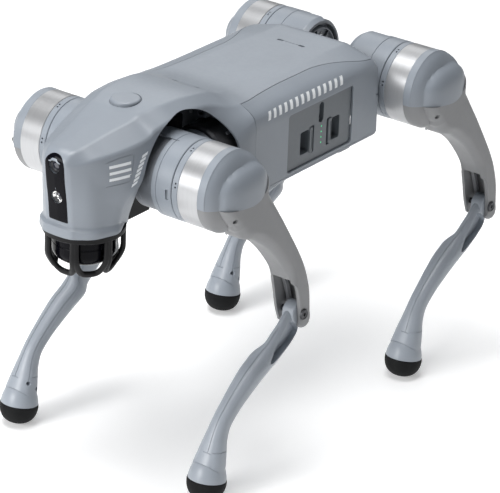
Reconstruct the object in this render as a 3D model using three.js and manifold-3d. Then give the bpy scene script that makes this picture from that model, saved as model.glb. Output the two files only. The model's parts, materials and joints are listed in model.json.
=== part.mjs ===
// Four-legged walking robot, in millimetres. +X is forward (the head), +Y is left, +Z is up.
// Origin: on the ground under the centre of the machine. Sub-parts are worked out in the trunk
// frame, whose origin lies on the centre plane at the height of the hip axes, midway between them.
import * as THREE from 'three';
import { mergeVertices } from 'three/addons/utils/BufferGeometryUtils.js';
import Module from 'manifold-3d';

const wasm = await Module();
wasm.setup();

// ---------------------------------------------------------------- driving dimensions
const HIP_X = 193.4;             // thigh axes, forward and back of the trunk centre
const HIP_Y = 46.5;              // hip swing axes, each side of the centre plane
const THIGH_LENGTH = 213;
const CALF_LENGTH = 213;
const THIGH_ANGLE = 32;          // degrees, knee behind the hip
const CALF_ANGLE = -75.2;        // degrees, calf relative to the thigh
const CALF_Y = 136.6;            // plane of the calf and foot
const DRUM_R = 46.6;             // drive drums of the leg
const GAP = 0.4;                 // running gap between neighbours
const WALL = 2.6;                // moulded shells
const DRUM_SIDES = 28;

const HOUSING_Y = [30, 87.2];    // hip housing drum, across the machine
const MOTOR_Y = [88, 122];       // knee motor casing
const COVER_Y = [122.6, 126.4];  // inboard plate of the thigh
const ROD_Y = [128.3, 132.8];    // push rod
const KNEE_Y = [134.2, 149.4];   // knee head of the calf
const SHELL_Y = [127, 155];      // thigh shell
const HUB_Y = 157.6;             // outer face of the knee bolt and the dome
const CRANK_ARM = 9.3;           // arm of the knee linkage
const EYE_R = 3.1;
const EYE_HOLE_R = 1.9;
const PIN_R = 1.25;
const ROD_BOW = 14;
const KNEE_HEAD_R = 12.8;
const BOLT_R = 3.5;
const FOOT_R = 22.5;
const FOOT_DROP = 22;            // foot centre to the flat contact patch
const FOOT_LEAN = 24;            // degrees from the calf axis towards upright
const drop = (length, degrees) => length * Math.cos(THREE.MathUtils.degToRad(degrees));
const KNEE_DROP = drop(THIGH_LENGTH, THIGH_ANGLE);
const STAND_HEIGHT = KNEE_DROP + drop(CALF_LENGTH, THIGH_ANGLE + CALF_ANGLE) + FOOT_DROP;
const MID_X = 2.54;              // middle of the overall length, forward of the trunk centre

const HIP_MOTOR_R = 35.5;
const HIP_MOTOR_X = [88, 140.4];
const FLANGE_X = 141;            // hip housing flange, next to the motor
const DECK_Z = 50.5;
const SIDE_Y = 90;
const TAIL_X = -141;
const SPLIT_X = 96;              // head shell starts here
const SIDE_LOW_Z = -50;          // lower edge of the trunk shell
const ARCH = { x: 181, z: 5, r: 63, y: 24 };
const FACE_X = 318;
const LIDAR = { x: 277, r: 45.5, top: -47, bottom: -97 };
const DISC_X = 209.5;            // the disc on top of the head
const LENS_Z = 34.5;
const LAMP_Z = -1.6;
const GUARD_WINDOWS = 7;
const BATTERY = { x: [-89, 35], y: [-58, SIDE_Y], z: [-43.5, 25.5] };
const POCKET_X = [[-18.2, 8.5], [-67, -41.3]];   // finger pockets in the battery face, levers included
const POCKET_Z = [-34, -0.5];
const POCKET_DEPTH = 14;
const LEVER_X = [[-14.5, -8.8], [-50.7, -45]];
const LEVER_Z = [-33, -1.5];
const LEVER_PROUD = 1.2;         // the levers stand out of the battery face
const BUTTON = { x: -30.5, z: 10.5, width: 8, height: 23.8, clear: 0.6, depth: 9, thick: 2.8, sunk: 3.6 };
const LED_STRIP = { x: [-33.8, -30.2], z: [-30, -5], depth: 2.6 };

// ---------------------------------------------------------------- materials
const paint = (color, roughness, metalness) =>
  new THREE.MeshStandardMaterial({ color, roughness, metalness });
const BODY = paint(0x8b95a1, 0.5, 0.1);
const LEG_GREY = paint(0x97999b, 0.55, 0.1);
const SILVER = paint(0xc9cbcc, 0.32, 0.8);
const BLACK = paint(0x17181a, 0.5, 0);
const GLOSS = paint(0x0b0c0e, 0.12, 0);
const FRAME_GREY = paint(0x3c4046, 0.5, 0.6);
const STEEL = paint(0x8d9094, 0.35, 0.9);
const RUBBER = paint(0x101112, 0.85, 0);
const LENS = paint(0x1b2030, 0.05, 0);
const GREEN = paint(0x2fb45a, 0.4, 0);

// ---------------------------------------------------------------- solids
function toSolid(geometry) {
  const bare = geometry.clone();
  bare.deleteAttribute('normal');
  bare.deleteAttribute('uv');
  const merged = mergeVertices(bare, 1e-4);
  return new wasm.Manifold(new wasm.Mesh({
    numProp: 3,
    vertProperties: new Float32Array(merged.attributes.position.array),
    triVerts: new Uint32Array(merged.index.array),
  }));
}

function toGeometry(solid) {
  const mesh = solid.getMesh();
  const geometry = new THREE.BufferGeometry();
  geometry.setAttribute('position', new THREE.BufferAttribute(new Float32Array(mesh.vertProperties), 3));
  geometry.setIndex(new THREE.BufferAttribute(new Uint32Array(mesh.triVerts), 1));
  geometry.computeVertexNormals();
  return geometry;
}

const join = (first, ...rest) => rest.reduce((sum, solid) => sum.add(solid), first);
const cut = (first, ...rest) => rest.reduce((left, solid) => left.subtract(solid), first);

function box([x0, x1], [y0, y1], [z0, z1]) {
  const geometry = new THREE.BoxGeometry(x1 - x0, y1 - y0, z1 - z0);
  return toSolid(geometry.translate((x0 + x1) / 2, (y0 + y1) / 2, (z0 + z1) / 2));
}

// A round bar between two places on an axis: 'x', 'y' or 'z'; centre gives the other two numbers.
function bar(axis, radius, [from, to], centre = [0, 0], sides = 20) {
  const geometry = new THREE.CylinderGeometry(radius, radius, to - from, sides);
  const middle = (from + to) / 2;
  if (axis === 'x') return toSolid(geometry.rotateZ(Math.PI / 2).translate(middle, centre[0], centre[1]));
  if (axis === 'y') return toSolid(geometry.translate(centre[0], middle, centre[1]));
  return toSolid(geometry.rotateX(Math.PI / 2).translate(centre[0], centre[1], middle));
}

// A turned piece about Y; the profile is [radius, y] pairs from one end to the other.
function turned(profile, sides = 24) {
  const points = profile.map(([r, y]) => new THREE.Vector2(r, y));
  if (points[0].x > 0) points.unshift(new THREE.Vector2(0, points[0].y));
  if (points[points.length - 1].x > 0) points.push(new THREE.Vector2(0, points[points.length - 1].y));
  return toSolid(new THREE.LatheGeometry(points, sides));
}

const turnedX = (profile, sides) => turned(profile, sides).rotate([0, 0, -90]);
const turnedZ = (profile, sides) => turned(profile, sides).rotate([90, 0, 0]);

// A flat plate: a shape drawn in X (across) and Z (up), from y0 to y1.
function plate(shape, [y0, y1], curveSegments = 4, bevel = 0) {
  const geometry = new THREE.ExtrudeGeometry(shape, {
    depth: y1 - y0 - 2 * bevel,
    bevelEnabled: bevel > 0,
    bevelThickness: bevel,
    bevelSize: bevel,
    bevelOffset: -bevel,
    bevelSegments: 1,
    curveSegments,
  });
  return toSolid(geometry.rotateX(Math.PI / 2).translate(0, y1 - bevel, 0));
}

// A skin through rings of points, one ring for each station, closed at both ends by a fan.
function loft(rings) {
  const sides = rings[0].length;
  const points = rings.flat();
  const middle = (ring) => ring.reduce((sum, p) => sum.add(p), new THREE.Vector3()).divideScalar(sides);
  const first = points.push(middle(rings[0])) - 1;
  const last = points.push(middle(rings[rings.length - 1])) - 1;
  const faces = [];
  const top = (rings.length - 1) * sides;
  for (let i = 0; i < sides; i += 1) {
    const next = (i + 1) % sides;
    faces.push(first, next, i, last, top + i, top + next);
    for (let r = 0; r < rings.length - 1; r += 1) {
      const a = r * sides;
      const b = a + sides;
      faces.push(a + i, a + next, b + next, a + i, b + next, b + i);
    }
  }
  const geometry = new THREE.BufferGeometry().setFromPoints(points);
  geometry.setIndex(faces);
  return toSolid(geometry);
}

// A ring across the machine from the points of its left half, top centre to bottom centre.
function ringAtX(x, half) {
  const left = half.map(([y, z]) => new THREE.Vector3(x, y, z));
  const right = half.filter(([y]) => y > 0).reverse().map(([y, z]) => new THREE.Vector3(x, -y, z));
  return [...left, ...right].reverse();
}

// A level ring from the points of its left half, front to back.
function ringAtZ(z, half) {
  const left = half.map(([x, y]) => new THREE.Vector3(x, y, z));
  const right = half.filter(([, y]) => y > 0).reverse().map(([x, y]) => new THREE.Vector3(x, -y, z));
  return [...left, ...right];
}

// ---------------------------------------------------------------- trunk
// Section of the trunk: top centre, deck edge, shoulder, side top, side bottom, belly edge, centre.
const trunkSection = (zTop, yDeck, zDeck, zShoulder, inset) => [
  [0, zTop - inset], [yDeck * 0.6, zTop - inset], [yDeck - inset * 0.4, zDeck - inset],
  [(yDeck + SIDE_Y) / 2 - inset * 0.5, (zDeck * 0.6 + zShoulder * 0.4) - inset * 0.9],
  [SIDE_Y - 4 - inset, zShoulder - inset * 0.5], [SIDE_Y - inset, zShoulder - 9],
  [SIDE_Y - inset, -20], [SIDE_Y - inset, SIDE_LOW_Z - inset * 4], [0, SIDE_LOW_Z - inset * 4],
];

const trunkStations = [
  [TAIL_X, 46, 50, 45, 36], [TAIL_X + 4, 49, 53, 48, 39], [-118, DECK_Z, 55, 49.5, 44],
  [-60, DECK_Z, 56, 49.6, 45], [-15, DECK_Z, 56, 49.6, 45], [45, DECK_Z, 52, 49.6, 44],
  [70, 51.5, 44, 51, 42], [SPLIT_X - GAP, 55, 40, 56, 43],
];

const wider = ([low, high]) => [low - GAP, high + GAP];

function trunkShell() {
  const outer = loft(trunkStations.map(([x, ...s]) => ringAtX(x, trunkSection(...s, 0))));
  const inside = trunkStations.map(([x, ...s], i) => {
    const end = i === 0 ? WALL : 0;
    return ringAtX(i === trunkStations.length - 1 ? x + 1 : x + end, trunkSection(...s, WALL));
  });
  const hollow = loft(inside);
  const tailHoles = [HIP_Y, -HIP_Y].map((y) => bar('x', HIP_MOTOR_R + 1, [TAIL_X - 5, TAIL_X + 8], [y, 0]));
  const bay = box(wider(BATTERY.x), [60, 100], wider(BATTERY.z));
  return cut(outer, hollow, ...tailHoles, bay, ...strapSlots(-93, 40, 60));
}

// Two short slots with a bar between them, for a carrying strap.
function strapSlots(x, z0, z1) {
  return [-4.5, 4.5].map((dx) => box([x + dx - 2.5, x + dx + 2.5], [-17, 17], [z0, z1]));
}

function bellyPan() {
  const section = (low, inset) => [
    [0, SIDE_LOW_Z - GAP + inset * 4], [SIDE_Y - inset, SIDE_LOW_Z - GAP + inset * 4],
    [SIDE_Y - inset, SIDE_LOW_Z - 4], [66 - inset * 0.5, low + inset], [0, low + inset],
  ];
  const stations = [[TAIL_X, -60], [-60, -62], [20, -63], [48, -72], [66, -78], [SPLIT_X - GAP, -62]];
  const outer = loft(stations.map(([x, low]) => ringAtX(x, section(low, 0))));
  const ends = [WALL, 0, 0, 0, 0, -WALL];
  const hollow = loft(stations.map(([x, low], i) => ringAtX(x + ends[i], section(low, WALL))));
  return join(cut(outer, hollow), box([-112, -84], [-46, 46], [-66, -59.5]));
}

// Chassis: a floor, two cross walls that carry the hip motors, and a beam out to the head.
function mainFrame() {
  const floor = box([-84, 84], [-80, 80], [-49, -46]);
  const walls = [[-87.4, -84], [84, 87.4]].map((x) => box(x, [-84, 84], [-49, 38]));
  const beam = box([80, 262], [-4, 4], [-22, 30]);
  const headPlate = box([250, 262], [-20, 20], [-30, 34]);
  const tailBeam = box([-137, -84], [-8, 8], [-40, 30]);
  return join(floor, ...walls, beam, headPlate, tailBeam);
}

function hipMotor() {
  const [x0, x1] = HIP_MOTOR_X;
  const bevel = 2.5;
  return turnedX([[HIP_MOTOR_R, x0], [HIP_MOTOR_R, x1 - bevel], [HIP_MOTOR_R - bevel, x1]], 20);
}

function mainComputer() {
  return join(box([42, 78], [-70, 70], [-44, 14]), box([46, 74], [-62, 62], [13, 20]));
}

// ---------------------------------------------------------------- battery
function batteryPack() {
  const [x0, x1] = BATTERY.x;
  const out = SIDE_Y + 5;
  const face = box(BATTERY.x, [SIDE_Y - 4, SIDE_Y], BATTERY.z);
  const body = box([x0 + 5.6, x1 - 1], [BATTERY.y[0], SIDE_Y - 3], BATTERY.z);
  const pockets = POCKET_X.map((x) => box(x, [SIDE_Y - POCKET_DEPTH, out], POCKET_Z));
  const { x, z, width, height, clear, depth } = BUTTON;
  const well = plate(pill(x, z, width + 2 * clear, height + 2 * clear), [SIDE_Y - depth, out]);
  const groove = box(wider(LED_STRIP.x), [SIDE_Y - LED_STRIP.depth - GAP, out], wider(LED_STRIP.z));
  return cut(join(body, face), ...pockets, well, groove);
}

// An upright slot outline with round ends, about (x, z).
function pill(x, z, width, height) {
  const r = width / 2;
  const straight = height / 2 - r;
  const shape = new THREE.Shape();
  shape.absarc(x, z + straight, r, 0, Math.PI);
  shape.absarc(x, z - straight, r, Math.PI, 2 * Math.PI);
  return shape;
}

const batteryLatch = (x) => box(x, [SIDE_Y - POCKET_DEPTH + 0.6, SIDE_Y + LEVER_PROUD], LEVER_Z);

function powerButton() {
  const { x, z, width, height, thick, sunk } = BUTTON;
  return plate(pill(x, z, width, height), [SIDE_Y - sunk - thick, SIDE_Y - sunk]);
}

const ledStrip = () => box(LED_STRIP.x, [SIDE_Y - LED_STRIP.depth, SIDE_Y + 0.2], LED_STRIP.z);

// ---------------------------------------------------------------- head
// Half sections of the head cover: top centre, flat edge, crease, side top, side bottom.
const hoodStations = [
  [SPLIT_X, [55, 40], [56, 44], [52, 70], [43, 86], [34, 90], [-50, 90], [-50, 0]],
  [108, [60, 38], [59, 46], [51, 70], [38, 85], [26, 89], [-50, 89], [-50, 0]],
  [121, [66, 37], [64, 49], [54, 66], [36, 77], [18, 84], [-50, 84], [-50, 0]],
  [136, [70, 36], [67, 51], [60, 59], [46, 65], [22, 70], [-50, 70], [-50, 0]],
  [155, [73, 36], [69, 51], [63, 57], [50, 59], [30, 60], [-50, 60], [-50, 0]],
  [195, [74, 33], [69, 49], [63, 56], [50, 58], [30, 59], [-50, 59], [-50, 0]],
  [225, [70, 29], [63, 46], [56, 53], [44, 55], [20, 56], [-50, 56], [-50, 0]],
  [255, [64, 22], [55, 40], [49, 48], [38, 51], [12, 52], [-44, 52], [-44, 0]],
];

function hoodRing([x, flat, ...rest], inset) {
  const shrink = (y) => (y === 0 ? 0 : y - inset);
  const half = [[0, flat[0] - inset], [shrink(flat[1]), flat[0] - inset]];
  rest.forEach(([z, y], i) => {
    const low = i >= rest.length - 2;
    half.push([shrink(y), low ? z - inset * 10 : z - inset * 0.7]);
  });
  return ringAtX(x, half);
}

// Level outlines of the face, front to back: a round neck that turns into a pointed wedge.
const headOutline = (nose, noseY, midX, midY, wideX, wideY, turnX, turnY, backX, backY) => [
  [nose, 0], [nose - 1.5, noseY * 0.6], [nose - 5, noseY], [midX, midY], [wideX, wideY],
  [turnX, turnY], [backX, backY], [backX, 0],
];
const headStations = [
  [-46, 322, 18, 305, 36, 277, 46, 258, 43, 242, 33], [-39.5, 322, 18, 305, 36, 277, 46, 258, 43, 242, 33],
  [-34, 318, 17, 304, 33, 276, 43, 258, 36, 242, 22], [-10, 319, 18, 303, 33, 270, 46, 256, 38, 242, 27],
  [12, 321, 20, 303, 34, 262, 51, 248, 51, 240, 45], [40, 326, 20, 303, 33, 262, 49, 246, 49, 238, 43],
  [66, 327, 16, 300, 28, 262, 40, 246, 40, 238, 34],
];

function headBlock(inset) {
  const rings = headStations.map(([z, nose, noseY, midX, midY, wideX, wideY, ...back], i) => {
    const level = inset > 0 && i === 0 ? z - 5 : z;
    const [turnX, turnY, backX, backY] = back;
    const outline = headOutline(nose - inset, noseY - inset * 0.4, midX - inset * 0.3, midY - inset,
      wideX, wideY - inset, turnX + inset * 0.4, turnY - inset, backX + inset, backY - inset);
    return ringAtZ(level, outline);
  });
  return loft(rings);
}

// Everything above the sloping top of the head, from the disc down to the nose.
function aboveHead(inset) {
  const shape = new THREE.Shape([
    new THREE.Vector2(236, 120), new THREE.Vector2(236, 69 - inset), new THREE.Vector2(262, 62.5 - inset),
    new THREE.Vector2(330, 47.5 - inset), new THREE.Vector2(345, 47.5 - inset), new THREE.Vector2(345, 120),
  ]);
  return plate(shape, [-80, 80]);
}

function headShell() {
  const outer = join(loft(hoodStations.map((s) => hoodRing(s, 0))), cut(headBlock(0), aboveHead(0)));
  const inside = hoodStations.map((s, i) => [s[0] + (i === 0 ? -1 : 0), ...s.slice(1)]);
  const hollow = join(loft(inside.map((s) => hoodRing(s, WALL))), cut(headBlock(WALL), aboveHead(WALL)));
  const arches = [1, -1].map((side) =>
    bar('y', ARCH.r, side > 0 ? [ARCH.y, 120] : [-120, -ARCH.y], [ARCH.x, ARCH.z], 40));
  const face = plate(pill(0, 9, 21, 80), [0, 20], 8).rotate([0, 0, -90]).translate([FACE_X - 4, 0, 0]);
  const seat = bar('z', 17.5, [60, 90], [DISC_X, 0], 24);
  const behind = box([HIP_X - 60, 246], [-100, 100], [-90, -14]);
  return cut(outer, hollow, ...arches, face, seat, behind, ...strapSlots(104, 40, 80));
}

const headDisc = () => turnedZ([[15, 70.2], [17.1, 70.2], [17.1, 76], [15.6, 77.6]], 24)
  .translate([DISC_X, 0, 0]);

function cameraWindow() {
  const pane = plate(pill(0, 9, 20.2, 79.2), [0, 3], 8).rotate([0, 0, -90])
    .translate([FACE_X - 3.4, 0, 0]);
  const holes = [LENS_Z, LAMP_Z].map((z) => bar('x', 7.4, [FACE_X - 10, FACE_X + 10], [0, z], 16));
  return cut(pane, ...holes);
}

const cameraLens = () => turnedX([[7, FACE_X - 3.2], [7, FACE_X + 0.4], [5, FACE_X + 0.8]], 16)
  .translate([0, 0, LENS_Z]);
const headlight = () => turnedX([[7, FACE_X - 3.2], [7, FACE_X + 0.6], [4, FACE_X + 2]], 16)
  .translate([0, 0, LAMP_Z]);

// Open guard round the scanner: a collar and a ring of U-shaped loops.
function lidarGuard() {
  const { r, top, bottom } = LIDAR;
  const outer = turnedZ([[r, top], [r, top - 26], [r - 6, bottom + 12], [r - 17, bottom]]
    .map(([a, b]) => [a, -b]), 21);
  const inner = turnedZ([[r - 4, top - 4], [r - 4, top - 26], [r - 10, bottom + 12], [r - 21, bottom - 1]]
    .map(([a, b]) => [a, -b]), 21);
  let guard = cut(outer.mirror([0, 0, 1]), inner.mirror([0, 0, 1]));
  for (let i = 0; i < GUARD_WINDOWS; i += 1) {
    const window = plate(pill(0, -73, 27, 32), [20, 60], 3);
    guard = guard.subtract(window.rotate([0, 0, i * 360 / GUARD_WINDOWS - 90]));
  }
  const hanger = bar('z', 8, [top - 4.5, top], [0, 0], 24);
  return join(guard, hanger).translate([LIDAR.x, 0, 0]);
}

function lidarRotor() {
  const profile = [[33, 52.2], [33, 72], [28, 82], [16, 87]];
  return turnedZ(profile, 20).mirror([0, 0, 1]).translate([LIDAR.x, 0, 0]);
}

// ---------------------------------------------------------------- leg, left side, about the thigh axis
function hipHousing() {
  const [y0, y1] = HOUSING_Y;
  const drum = turned([[DRUM_R - 5, y0], [DRUM_R, y0 + 6], [DRUM_R, y1]], DRUM_SIDES);
  const flange = bar('x', 31, [FLANGE_X - HIP_X, -18], [HIP_Y, 0], 24);
  const recess = turned([[38, y0 - 1], [38, y0 + 7]], 24);
  return cut(join(drum, flange), recess);
}

function kneeMotor() {
  const [y0, y1] = MOTOR_Y;
  return turned([[DRUM_R - 0.5, y0], [DRUM_R - 0.5, y0 + 7.6], [DRUM_R, y0 + 8.2], [DRUM_R, y1]], DRUM_SIDES);
}

// Outline of the thigh, seen from the left: the drum, a waisted blade and a rounded knee.
function thighOutline(inset = 0) {
  const blade = [[33, -45], [14, -64], [3, -86], [-4.5, -128], [-5, -145], [3, -175], [10.5, -205],
    [12, -222]];
  const back = [[-12, -221], [-21, -199], [-29, -168], [-32.5, -130], [-33, -80], [-33.5, -34]];
  const shape = new THREE.Shape();
  const drum = DRUM_R + 0.4 - inset;
  shape.moveTo(43 - inset, -26 + inset * 0.5);
  shape.splineThru(blade.map(([x, z]) => new THREE.Vector2(x - inset, z + inset * 0.2)));
  shape.quadraticCurveTo(9, -235 + inset, -3, -234 + inset);
  shape.splineThru(back.map(([x, z]) => new THREE.Vector2(x + inset, z)));
  shape.absarc(0, 0, drum, Math.PI + Math.asin(33.5 / 47), Math.asin(-26 / 50) + 2 * Math.PI, true);
  return shape;
}

// The line where the painted cap meets the thigh shell: a slab that fills everything above it.
function aboveCapLine(offset) {
  return box([-80, 80], [100, 180], [-12 + offset, 90]).rotate([0, -THIGH_ANGLE - 5, 0]);
}

function thighShell() {
  const body = plate(thighOutline(), SHELL_Y, 2, 3);
  const root = turned([[DRUM_R, COVER_Y[0]], [DRUM_R, 132]], DRUM_SIDES);
  const cavity = plate(thighOutline(3), [SHELL_Y[0] - 10, SHELL_Y[1] - 4.4], 2);
  const rootCavity = turned([[DRUM_R - 4, 118], [DRUM_R - 4, 148]]);
  const mouth = box([-14, 40], [110, KNEE_Y[1] + 0.8], [-240, -160]);
  const kneeRoom = bar('y', KNEE_HEAD_R + 0.8, [110, KNEE_Y[1] + 0.8], [0, -THIGH_LENGTH], 20);
  const boltHole = bar('y', BOLT_R + GAP, [140, 165], [0, -THIGH_LENGTH], 12);
  const headSeat = bar('y', 7, [SHELL_Y[1] - 0.6, 170], [0, -THIGH_LENGTH], 14);
  return cut(join(body, root), cavity, rootCavity, mouth, kneeRoom, boltHole, headSeat, aboveCapLine(0));
}

function thighCover() {
  const blade = plate(thighOutline(0.6), COVER_Y, 2);
  const clear = bar('y', DRUM_R + 0.9, [100, 140], [0, 0], DRUM_SIDES);
  const boltHole = bar('y', BOLT_R + GAP, [110, 140], [0, -THIGH_LENGTH], 12);
  return cut(blade, clear, boltHole);
}

function thighCap() {
  const drum = turned([[DRUM_R, COVER_Y[0]], [DRUM_R + 0.4, 130], [DRUM_R - 1, 137], [DRUM_R - 7, 143],
    [28, 146]], DRUM_SIDES);
  const dome = turned([[34, 136], [35, 143], [33, 149], [27, 154], [16, 157], [0, HUB_Y]], 16)
    .scale([1.15, 1, 0.94]);
  const hollow = turned([[DRUM_R - 4, 118], [DRUM_R - 4, 134], [24, 141]]);
  const solid = cut(join(drum, dome.rotate([0, -THIGH_ANGLE, 0]).translate([4, 0, 13])), hollow);
  return solid.intersect(aboveCapLine(GAP));
}

function kneeCrank(angle) {
  const disc = turned([[13.5, COVER_Y[0]], [13.5, COVER_Y[1] + 0.8]], 20);
  const pin = bar('y', PIN_R, [COVER_Y[1], ROD_Y[1]], armTip(angle), 8);
  return join(disc, pin);
}

// Place of the crank pin for a direction measured as the calf's is, from straight down.
const armTip = (degrees) => {
  const a = THREE.MathUtils.degToRad(degrees);
  return [-CRANK_ARM * Math.sin(a), -CRANK_ARM * Math.cos(a)];
};

// The rod bows backwards so that it stays inside the waisted thigh.
function pushRod(angle) {
  const [x0, z0] = armTip(angle);
  const bow = (t) => x0 - ROD_BOW * Math.sin(Math.PI * t) ** 0.8;
  const steps = [0, 0.02, 0.05, 0.12, 0.3, 0.5, 0.7, 0.88, 0.95, 0.98, 1];
  const edge = (offset) => steps.map((t) => new THREE.Vector2(bow(t) + offset, z0 - THIGH_LENGTH * t));
  const rod = plate(new THREE.Shape([...edge(-2.2), ...edge(2.2).reverse()]), ROD_Y);
  const places = [[x0, z0], [x0, z0 - THIGH_LENGTH]];
  const eyes = places.map((place) => bar('y', EYE_R, ROD_Y, place, 14));
  const holes = places.map((place) => bar('y', EYE_HOLE_R, [120, 140], place, 10));
  return cut(join(rod, ...eyes), ...holes);
}

function kneeBolt() {
  const shaft = bar('y', BOLT_R, [COVER_Y[0] - 0.4, HUB_Y - 1], [0, 0], 12);
  const head = turned([[6.4, SHELL_Y[1] - 0.2], [6.4, HUB_Y - 0.6], [5.8, HUB_Y]], 14);
  const socket = plate(hexagon(2.9), [HUB_Y - 1.6, HUB_Y + 2]);
  return cut(join(shaft, head), socket);
}

function hexagon(radius) {
  return new THREE.Shape(Array.from({ length: 6 }, (_, i) => new THREE.Vector2(
    radius * Math.cos(i * Math.PI / 3), radius * Math.sin(i * Math.PI / 3))));
}

// Calf sections: distance from the knee, centre forward, centre across, half depth, half width.
const calfStations = [
  [6, -4, 141.8, 10.5, 7.4], [20, -9, 141.8, 12.6, 7.4], [34, -5, 140.6, 13.6, 8.4], [53, 1, 138, 14, 12.6],
  [70, 8, CALF_Y, 14.3, 13.8], [85, 14.2, CALF_Y, 14, 13.6], [106, 19.6, CALF_Y, 12.6, 12.4],
  [128, 23.8, CALF_Y, 11.3, 11.2], [149, 26, CALF_Y, 10.6, 10.8], [165, 22.5, CALF_Y, 12.6, 12],
  [181, 15.9, CALF_Y, 16.3, 15.8], [192, 11, CALF_Y, 18.6, 18.4], [202, 9, CALF_Y, 20, 20],
];

function calf(angle) {
  const rings = calfStations.map(([d, x, y, depth, width]) => Array.from({ length: 10 }, (_, i) => {
    const a = (i / 10) * 2 * Math.PI;
    return new THREE.Vector3(x + depth * Math.cos(a), y + width * Math.sin(a), -d);
  }).reverse());
  const [y0, y1] = KNEE_Y;
  const head = turned([[KNEE_HEAD_R - 0.6, y0], [KNEE_HEAD_R, y0 + 0.6], [KNEE_HEAD_R, y1 - 0.6],
    [KNEE_HEAD_R - 0.6, y1]], 20);
  const pin = bar('y', PIN_R, [ROD_Y[0], KNEE_Y[0] + 2], armTip(angle), 8);
  const bore = bar('y', BOLT_R + GAP, [110, 170], [0, 0], 12);
  const foot = footBody(GAP).translate([0, CALF_Y, -CALF_LENGTH]);
  return cut(join(loft(rings), head, pin), bore, foot);
}

// Rubber foot: a ball with a collar that grips the end of the calf; its own axis leans forward.
function footBody(extra) {
  const r = FOOT_R + extra;
  const ball = Array.from({ length: 7 }, (_, i) => {
    const a = -Math.PI / 2 + (i / 6) * 1.92;
    return [r * Math.cos(a), r * Math.sin(a)];
  });
  const profile = [...ball, [19.2 + extra, 12.5 + extra]];
  return turnedZ(profile, 16).rotate([0, FOOT_LEAN, 0]);
}

function foot() {
  const upright = footBody(0).rotate([0, THIGH_ANGLE + CALF_ANGLE, 0]);
  return cut(upright, box([-40, 40], [-40, 40], [-40, -FOOT_DROP]));
}

// ---------------------------------------------------------------- assembly
const robot = new THREE.Group();
const trunk = new THREE.Group();
trunk.position.set(-MID_X, 0, STAND_HEIGHT);
robot.add(trunk);

function place(parent, name, solid, material) {
  const mesh = new THREE.Mesh(toGeometry(solid), material);
  mesh.name = name;
  parent.add(mesh);
  return mesh;
}

function frameAt(parent, x, y, z, pitch = 0) {
  const group = new THREE.Group();
  group.position.set(x, y, z);
  group.rotation.y = THREE.MathUtils.degToRad(pitch);
  parent.add(group);
  return group;
}

const LINK_ANGLE = CALF_ANGLE + 180;

function buildLeg(name, end, side) {
  const flip = (solid) => (side < 0 ? solid.mirror([0, 1, 0]) : solid);
  const turnAround = (solid) => (end < 0 ? solid.mirror([1, 0, 0]) : solid);
  place(trunk, `${name}_hip_motor`, turnAround(hipMotor()).translate([0, side * HIP_Y, 0]), FRAME_GREY);
  const hip = frameAt(trunk, end * HIP_X, 0, 0);
  place(hip, `${name}_hip_housing`, turnAround(flip(hipHousing())), BODY);
  const thigh = frameAt(hip, 0, 0, 0, THIGH_ANGLE);
  place(thigh, `${name}_knee_motor`, flip(kneeMotor()), SILVER);
  place(thigh, `${name}_thigh_shell`, flip(thighShell()), LEG_GREY);
  place(thigh, `${name}_thigh_cover`, flip(thighCover()), LEG_GREY);
  place(thigh, `${name}_thigh_cap`, flip(thighCap()), BODY);
  place(thigh, `${name}_knee_crank`, flip(kneeCrank(LINK_ANGLE)), STEEL);
  place(thigh, `${name}_push_rod`, flip(pushRod(LINK_ANGLE)), STEEL);
  const knee = frameAt(thigh, 0, 0, -THIGH_LENGTH);
  place(knee, `${name}_knee_bolt`, flip(kneeBolt()), STEEL);
  const shin = frameAt(knee, 0, 0, 0, CALF_ANGLE);
  place(shin, `${name}_calf`, flip(calf(180)), BODY);
  const ankle = frameAt(shin, 0, side * CALF_Y, -CALF_LENGTH, -THIGH_ANGLE - CALF_ANGLE);
  place(ankle, `${name}_foot`, foot(), RUBBER);
}

place(trunk, 'trunk_shell', trunkShell(), BODY);
place(trunk, 'belly_pan', bellyPan(), BODY);
place(trunk, 'main_frame', mainFrame(), FRAME_GREY);
place(trunk, 'main_computer', mainComputer(), FRAME_GREY);
place(trunk, 'battery_pack', batteryPack(), BODY);
place(trunk, 'battery_latch_front', batteryLatch(LEVER_X[0]), BODY);
place(trunk, 'battery_latch_rear', batteryLatch(LEVER_X[1]), BODY);
place(trunk, 'power_button', powerButton(), BODY);
place(trunk, 'battery_led_strip', ledStrip(), GREEN);
place(trunk, 'head_shell', headShell(), BODY);
place(trunk, 'head_disc', headDisc(), BODY);
place(trunk, 'camera_window', cameraWindow(), GLOSS);
place(trunk, 'camera_lens', cameraLens(), LENS);
place(trunk, 'headlight', headlight(), STEEL);
place(trunk, 'lidar_guard', lidarGuard(), BLACK);
place(trunk, 'lidar_rotor', lidarRotor(), BLACK);

for (const [name, end, side] of [
  ['front_left', 1, 1], ['front_right', 1, -1], ['rear_left', -1, 1], ['rear_right', -1, -1],
]) buildLeg(name, end, side);

export default robot;
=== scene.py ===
"""Looks of a four-legged walking robot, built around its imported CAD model.

Shapes are worked out in millimetres in the frame of their own sub-part (trunk, hip, thigh or calf),
and settle() places them in the row frame. +X is forward, +Y is left or outward, +Z is up.
"""

import json
import math

import bpy
import numpy as np
from mathutils import Matrix, Vector


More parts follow.
